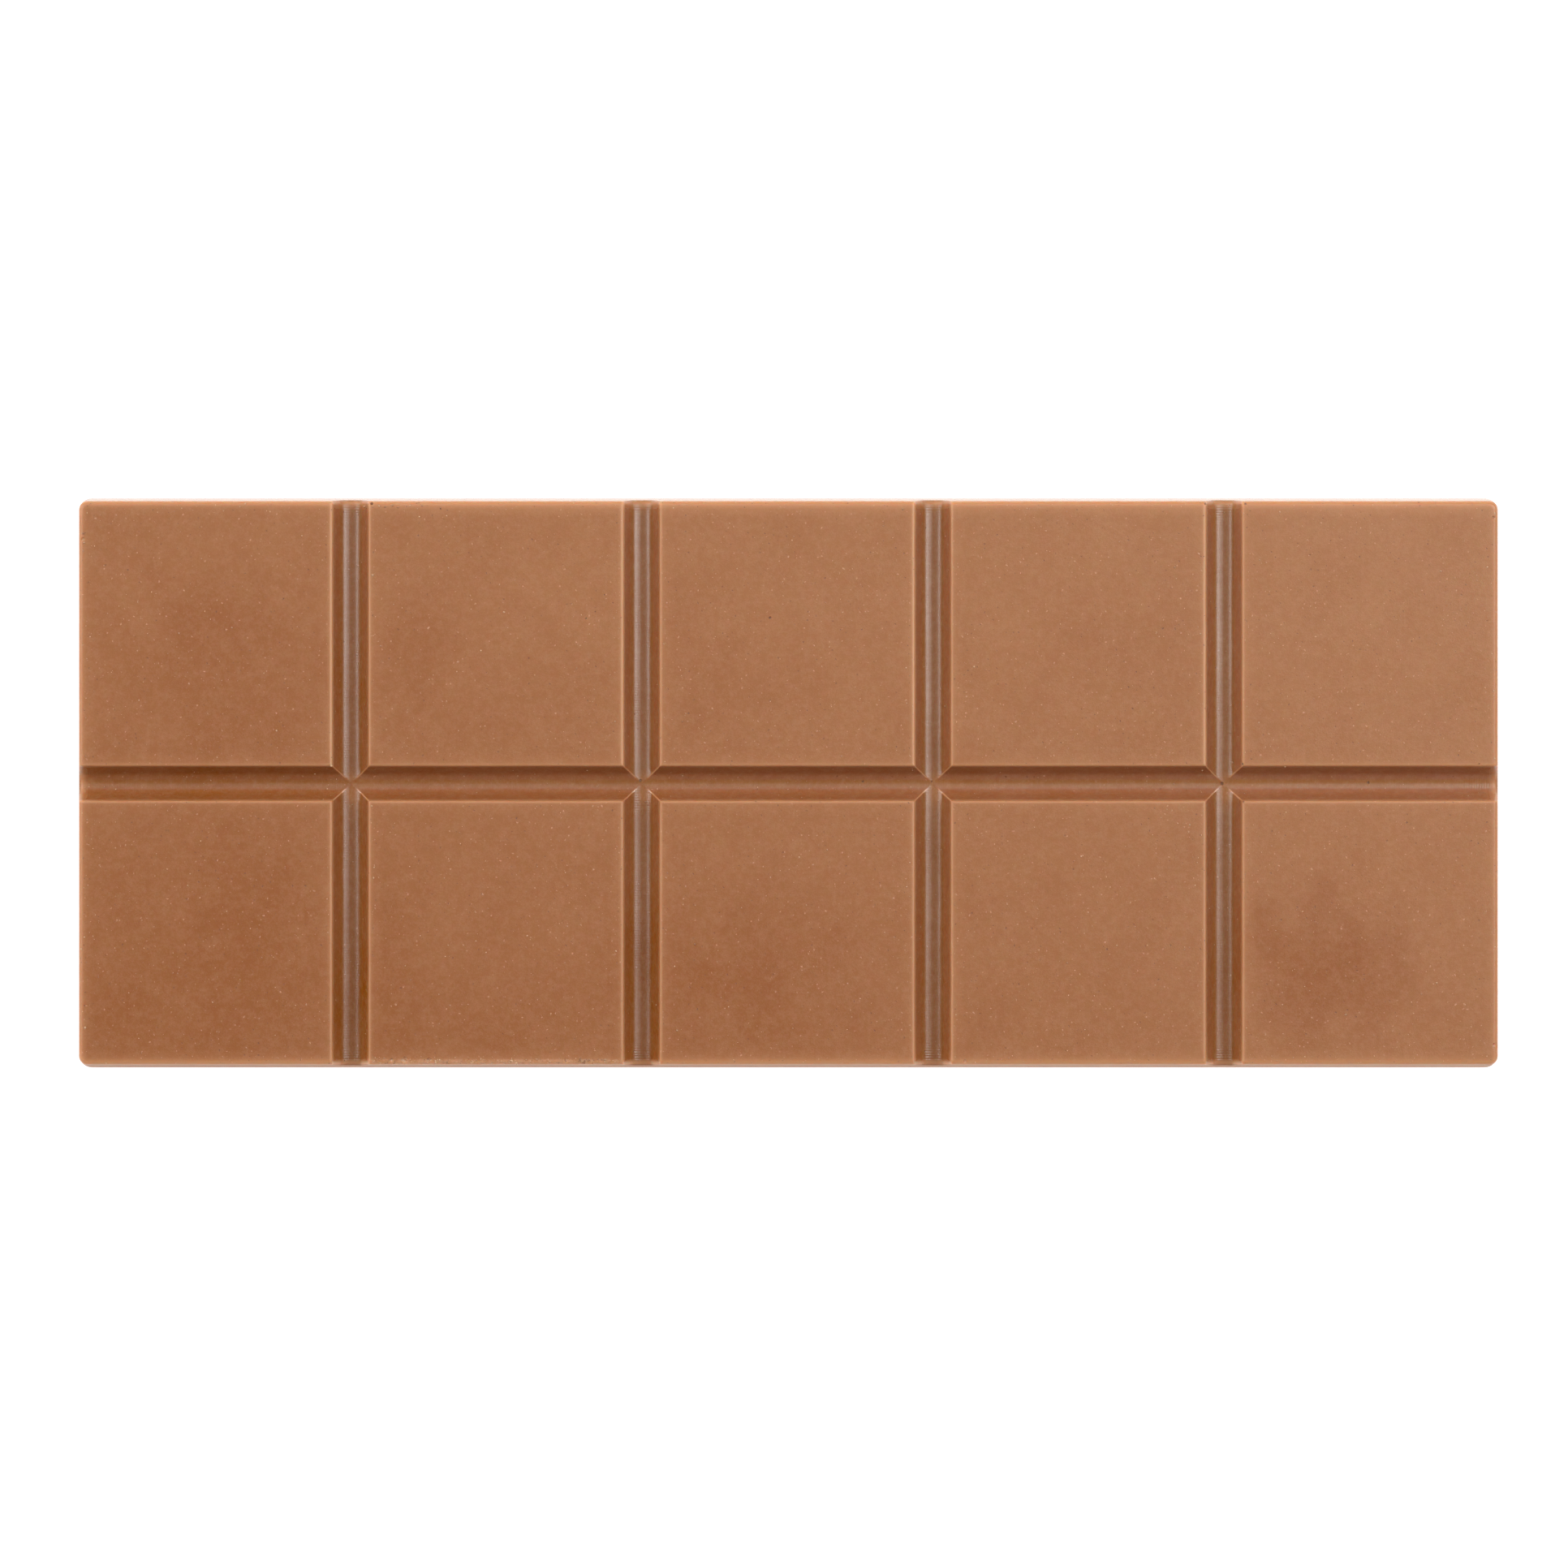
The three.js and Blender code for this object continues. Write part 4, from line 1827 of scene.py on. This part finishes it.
    def relief(self, nodes: Nodes, pattern: Pattern) -> bpy.types.NodeSocket:
        """Height in millimetres: pits, bumps, cloudy grain on the squares, and the ripples.

        Args:
            nodes: The material's nodes.
            pattern: What its parts share.

        Returns:
            The height's output.
        """
        x, y = nodes.parts(pattern.place)[:2]
        rate = 2 * math.pi / self.ripple_pitch
        total = nodes.math("MULTIPLY", pattern.dark, -self.pit_depth)
        total = nodes.math("MULTIPLY_ADD", pattern.pale, self.fleck_height, total)
        calm = nodes.mix(nodes.mark(Mark.POLISH_AND_SHADE), self.grain_height, self.groove_grain)
        total = nodes.math("MULTIPLY_ADD", pattern.clouds, calm, total)
        for coordinate, mark in ((y, Mark.RIPPLE_ACROSS), (x, Mark.RIPPLE_ALONG)):
            wave = nodes.math("SINE", nodes.math("MULTIPLY", coordinate, rate))
            strength = nodes.math("MULTIPLY", nodes.mark(mark), self.ripple_height)
            total = nodes.math("MULTIPLY_ADD", wave, strength, total)
        return total

    def roughness(self, nodes: Nodes, pattern: Pattern) -> bpy.types.NodeSocket:
        """Dull squares, glossy grooves with dull ends, and a duller back.

        Args:
            nodes: The material's nodes.
            pattern: What its parts share.

        Returns:
            The roughness's output.
        """
        rough = nodes.about(pattern.clouds, self.roughness_swing, self.square_roughness)
        for mark, value in (
            (Mark.POLISH_AND_SHADE, self.groove_roughness),
            (Mark.DULL_GLOWING_END, self.end_roughness),
            (Mark.BACK, self.back_roughness),
        ):
            rough = nodes.mix(nodes.mark(mark), rough, value)
        return rough

    def material(self) -> bpy.types.Material:
        """Lays out the nodes. Noise and specks are worked out once and shared by all the parts.

        Returns:
            The finished material.
        """
        nodes = Nodes(self.name)
        place = nodes.millimetres()
        pale, dark = self.specks.draw(nodes, place)
        pattern = Pattern(place, nodes.clouds(place, self.clouds), pale, dark)
        skin = nodes.skin(self.colour(nodes, pattern), self.relief(nodes, pattern))
        nodes.link(self.roughness(nodes, pattern), skin["Roughness"])
        skin["Specular IOR Level"].default_value = self.gloss
        skin["Subsurface Weight"].default_value = self.glow_share
        skin["Subsurface Radius"].default_value = self.glow
        skin["Subsurface Scale"].default_value = self.glow_depth
        return nodes.material


@dataclass(frozen=True)
class CrumbFinish:
    """Broken chocolate, which is paler than the moulded skin.

    Attributes:
        name: The material's name.
        dark: Colour of the darkest crumbs, linear.
        light: Colour of the lightest, linear.
        tones: Noise that picks a crumb's tone.
        tone_range: Noise between which values the tone changes from dark to light.
        grain: The rough relief.
        grain_height: Height of it, in millimetres.
        roughness: Of the surface.
    """

    name: str = "chocolate_crumb"
    dark: tuple[float, float, float] = (0.40, 0.18, 0.085)
    light: tuple[float, float, float] = (0.78, 0.48, 0.28)
    tones: Noise = Noise(1.3, 1.0)
    tone_range: tuple[float, float] = (0.35, 0.65)
    grain: Noise = Noise(20.0, 2.0)
    grain_height: float = 0.01
    roughness: float = 0.35

    def material(self) -> bpy.types.Material:
        """Lays out the nodes: a tone that changes from crumb to crumb, and a rough relief.

        Returns:
            The finished material.
        """
        nodes = Nodes(self.name)
        place = nodes.millimetres()
        tone = nodes.ramp(nodes.clouds(place, self.tones), *self.tone_range)
        relief = nodes.math("MULTIPLY", nodes.clouds(place, self.grain), self.grain_height)
        skin = nodes.skin(nodes.blend(tone, self.dark, self.light), relief)
        skin["Roughness"].default_value = self.roughness
        return nodes.material


# The studio


@dataclass(frozen=True)
class Panel:
    """A rectangular soft light in the ceiling, which faces straight down.

    Attributes:
        name: The light's name.
        along_x: Angles off vertical between which the bar sees it along X, in degrees.
        along_y: The same along Y.
        brightness: Its radiance, with white paper in the picture at about one.
    """

    name: str
    along_x: tuple[float, float]
    along_y: tuple[float, float]
    brightness: float

    def build(self, ceiling: float) -> None:
        """Hangs the light. Its power is pi times brightness times area.

        Args:
            ceiling: Height of the ceiling.
        """
        x0, x1 = (ceiling * math.tan(math.radians(angle)) for angle in self.along_x)
        y0, y1 = (ceiling * math.tan(math.radians(angle)) for angle in self.along_y)
        light = bpy.data.lights.new(self.name, "AREA")
        light.shape = "RECTANGLE"
        light.size, light.size_y = x1 - x0, y1 - y0
        light.energy = math.pi * self.brightness * (x1 - x0) * (y1 - y0)
        made = bpy.data.objects.new(self.name, light)
        made.location = ((x0 + x1) / 2, (y0 + y1) / 2, ceiling)
        made.visible_camera = False
        bpy.context.scene.collection.objects.link(made)


@dataclass
class Studio:
    """A white table under a ceiling with soft lights, and a camera that looks straight down.

    Attributes:
        frame_width: Width of the picture at the squares' tops.
        focal_length: Of the lens, in millimetres.
        sensor: Width of the sensor, in millimetres.
        clip: Nearest and farthest distance that the camera sees.
        picture: Width of the picture in pixels.
        bar_centre: Where the picture shows the bar's middle, in pixels from its top left.
        table_size: Side of the table.
        table_gap: How far it lies below the bar's back, which keeps the two faces apart.
        table_colour: Its colour, linear.
        table_glow: Light that it gives off itself, as a light table does.
        sky: Even light from all round.
        ceiling: Height of the ceiling.
        panels: The lights in it.
    """

    frame_width: float = 132.55 * MM
    focal_length: float = 271.0
    sensor: float = 36.0
    clip: tuple[float, float] = (0.05, 20.0)
    picture: int = 1932
    bar_centre: tuple[float, float] = (971.45, 964.6)
    table_size: float = 8.0
    table_gap: float = 0.02 * MM
    table_colour: tuple[float, float, float] = (0.5, 0.5, 0.5)
    table_glow: float = 0.94
    sky: float = 0.23
    ceiling: float = 0.8
    panels: tuple[Panel, ...] = (
        Panel("right_softbox", (28.0, 48.5), (0.0, 35.0), 5.8),
        Panel("right_fill", (10.0, 28.0), (0.0, 35.0), 3.0),
        Panel("left_edge", (-70.0, -60.0), (0.0, 52.0), 1.6),
        Panel("left_softbox", (-60.0, -38.0), (0.0, 52.0), 5.0),
        Panel("left_fill", (-38.0, -25.0), (0.0, 52.0), 1.1),
        Panel("back_fill", (-25.0, 10.0), (0.0, 42.0), 0.6),
    )

    def place_camera(self, top: float) -> None:
        """Hangs the camera so that the bar's top fills the same part of the picture.

        Args:
            top: Height of the squares' tops.
        """
        camera = bpy.data.cameras.new("camera")
        camera.lens = self.focal_length
        camera.sensor_width = self.sensor
        camera.clip_start, camera.clip_end = self.clip
        made = bpy.data.objects.new("camera", camera)
        pixel = self.frame_width / self.picture
        away = self.focal_length / self.sensor * self.frame_width
        middle = self.picture / 2
        made.location = (
            (middle - self.bar_centre[0]) * pixel,
            (self.bar_centre[1] - middle) * pixel,
            top + away,
        )
        bpy.context.scene.collection.objects.link(made)
        bpy.context.scene.camera = made

    def lay_table(self) -> None:
        """Makes the white table, which can be seen through from below.

        Its glow isn't aimed at from the bar, because that would light the back unevenly.
        """
        half = self.table_size / 2
        flat = np.array([[-1, -1], [1, -1], [1, 1], [-1, 1]]) * half
        places = np.column_stack([flat, np.full(len(flat), -self.table_gap)])
        table = mesh_object("table", places, np.array([[0, 1, 2], [0, 2, 3]]))
        nodes = Nodes("white_table")
        diffuse = nodes.add("ShaderNodeBsdfDiffuse")
        nodes.put(self.table_colour, diffuse.inputs["Color"])
        glow = nodes.add("ShaderNodeEmission")
        nodes.put(self.table_glow, glow.inputs["Strength"])
        both = nodes.add("ShaderNodeAddShader")
        nodes.link(diffuse.outputs[0], both.inputs[0])
        nodes.link(glow.outputs[0], both.inputs[1])
        clear = nodes.add("ShaderNodeBsdfTransparent")
        mixed = nodes.add("ShaderNodeMixShader")
        nodes.link(nodes.add("ShaderNodeNewGeometry").outputs["Backfacing"], mixed.inputs[0])
        nodes.link(both.outputs[0], mixed.inputs[1])
        nodes.link(clear.outputs[0], mixed.inputs[2])
        nodes.surface(mixed.outputs[0])
        nodes.material.cycles.emission_sampling = "NONE"
        table.data.materials.append(nodes.material)

    def light_sky(self) -> None:
        """Sets the even light from all round, and shows colours as they are."""
        world = bpy.data.worlds.new("even_light")
        world.use_nodes = True
        background = world.node_tree.nodes["Background"]
        background.inputs["Color"].default_value = (1.0, 1.0, 1.0, 1.0)
        background.inputs["Strength"].default_value = self.sky
        bpy.context.scene.world = world
        bpy.context.scene.view_settings.view_transform = "Standard"

    def build(self, top: float) -> None:
        """Makes camera, table, sky and ceiling lights.

        Args:
            top: Height of the squares' tops.
        """
        self.place_camera(top)
        self.lay_table()
        self.light_sky()
        for panel in self.panels:
            panel.build(self.ceiling)


def main() -> None:
    """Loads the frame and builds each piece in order."""
    logging.basicConfig(level=logging.INFO, format="%(name)s: %(message)s")
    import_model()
    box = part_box(NODE)

    Studio().build(box[1].z)

    tablet = Tablet(box=box)
    bar = tablet.build()
    log.info("moulded bar: %d triangles", len(bar.data.polygons))
    Chips().cut(bar, tablet)
    Markings().write(bar.data, tablet)
    bar.data.materials.append(ChocolateFinish().material())
    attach(bar, BODY)
    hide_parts(NODE)
    log.info("chipped bar: %d triangles", len(bar.data.polygons))

    crumbs = Crumbs().build(tablet)
    crumbs.data.materials.append(CrumbFinish().material())
    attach(crumbs, BODY)
    log.info("crumbs: %d triangles", len(crumbs.data.polygons))


if __name__ == "__main__":
    main()
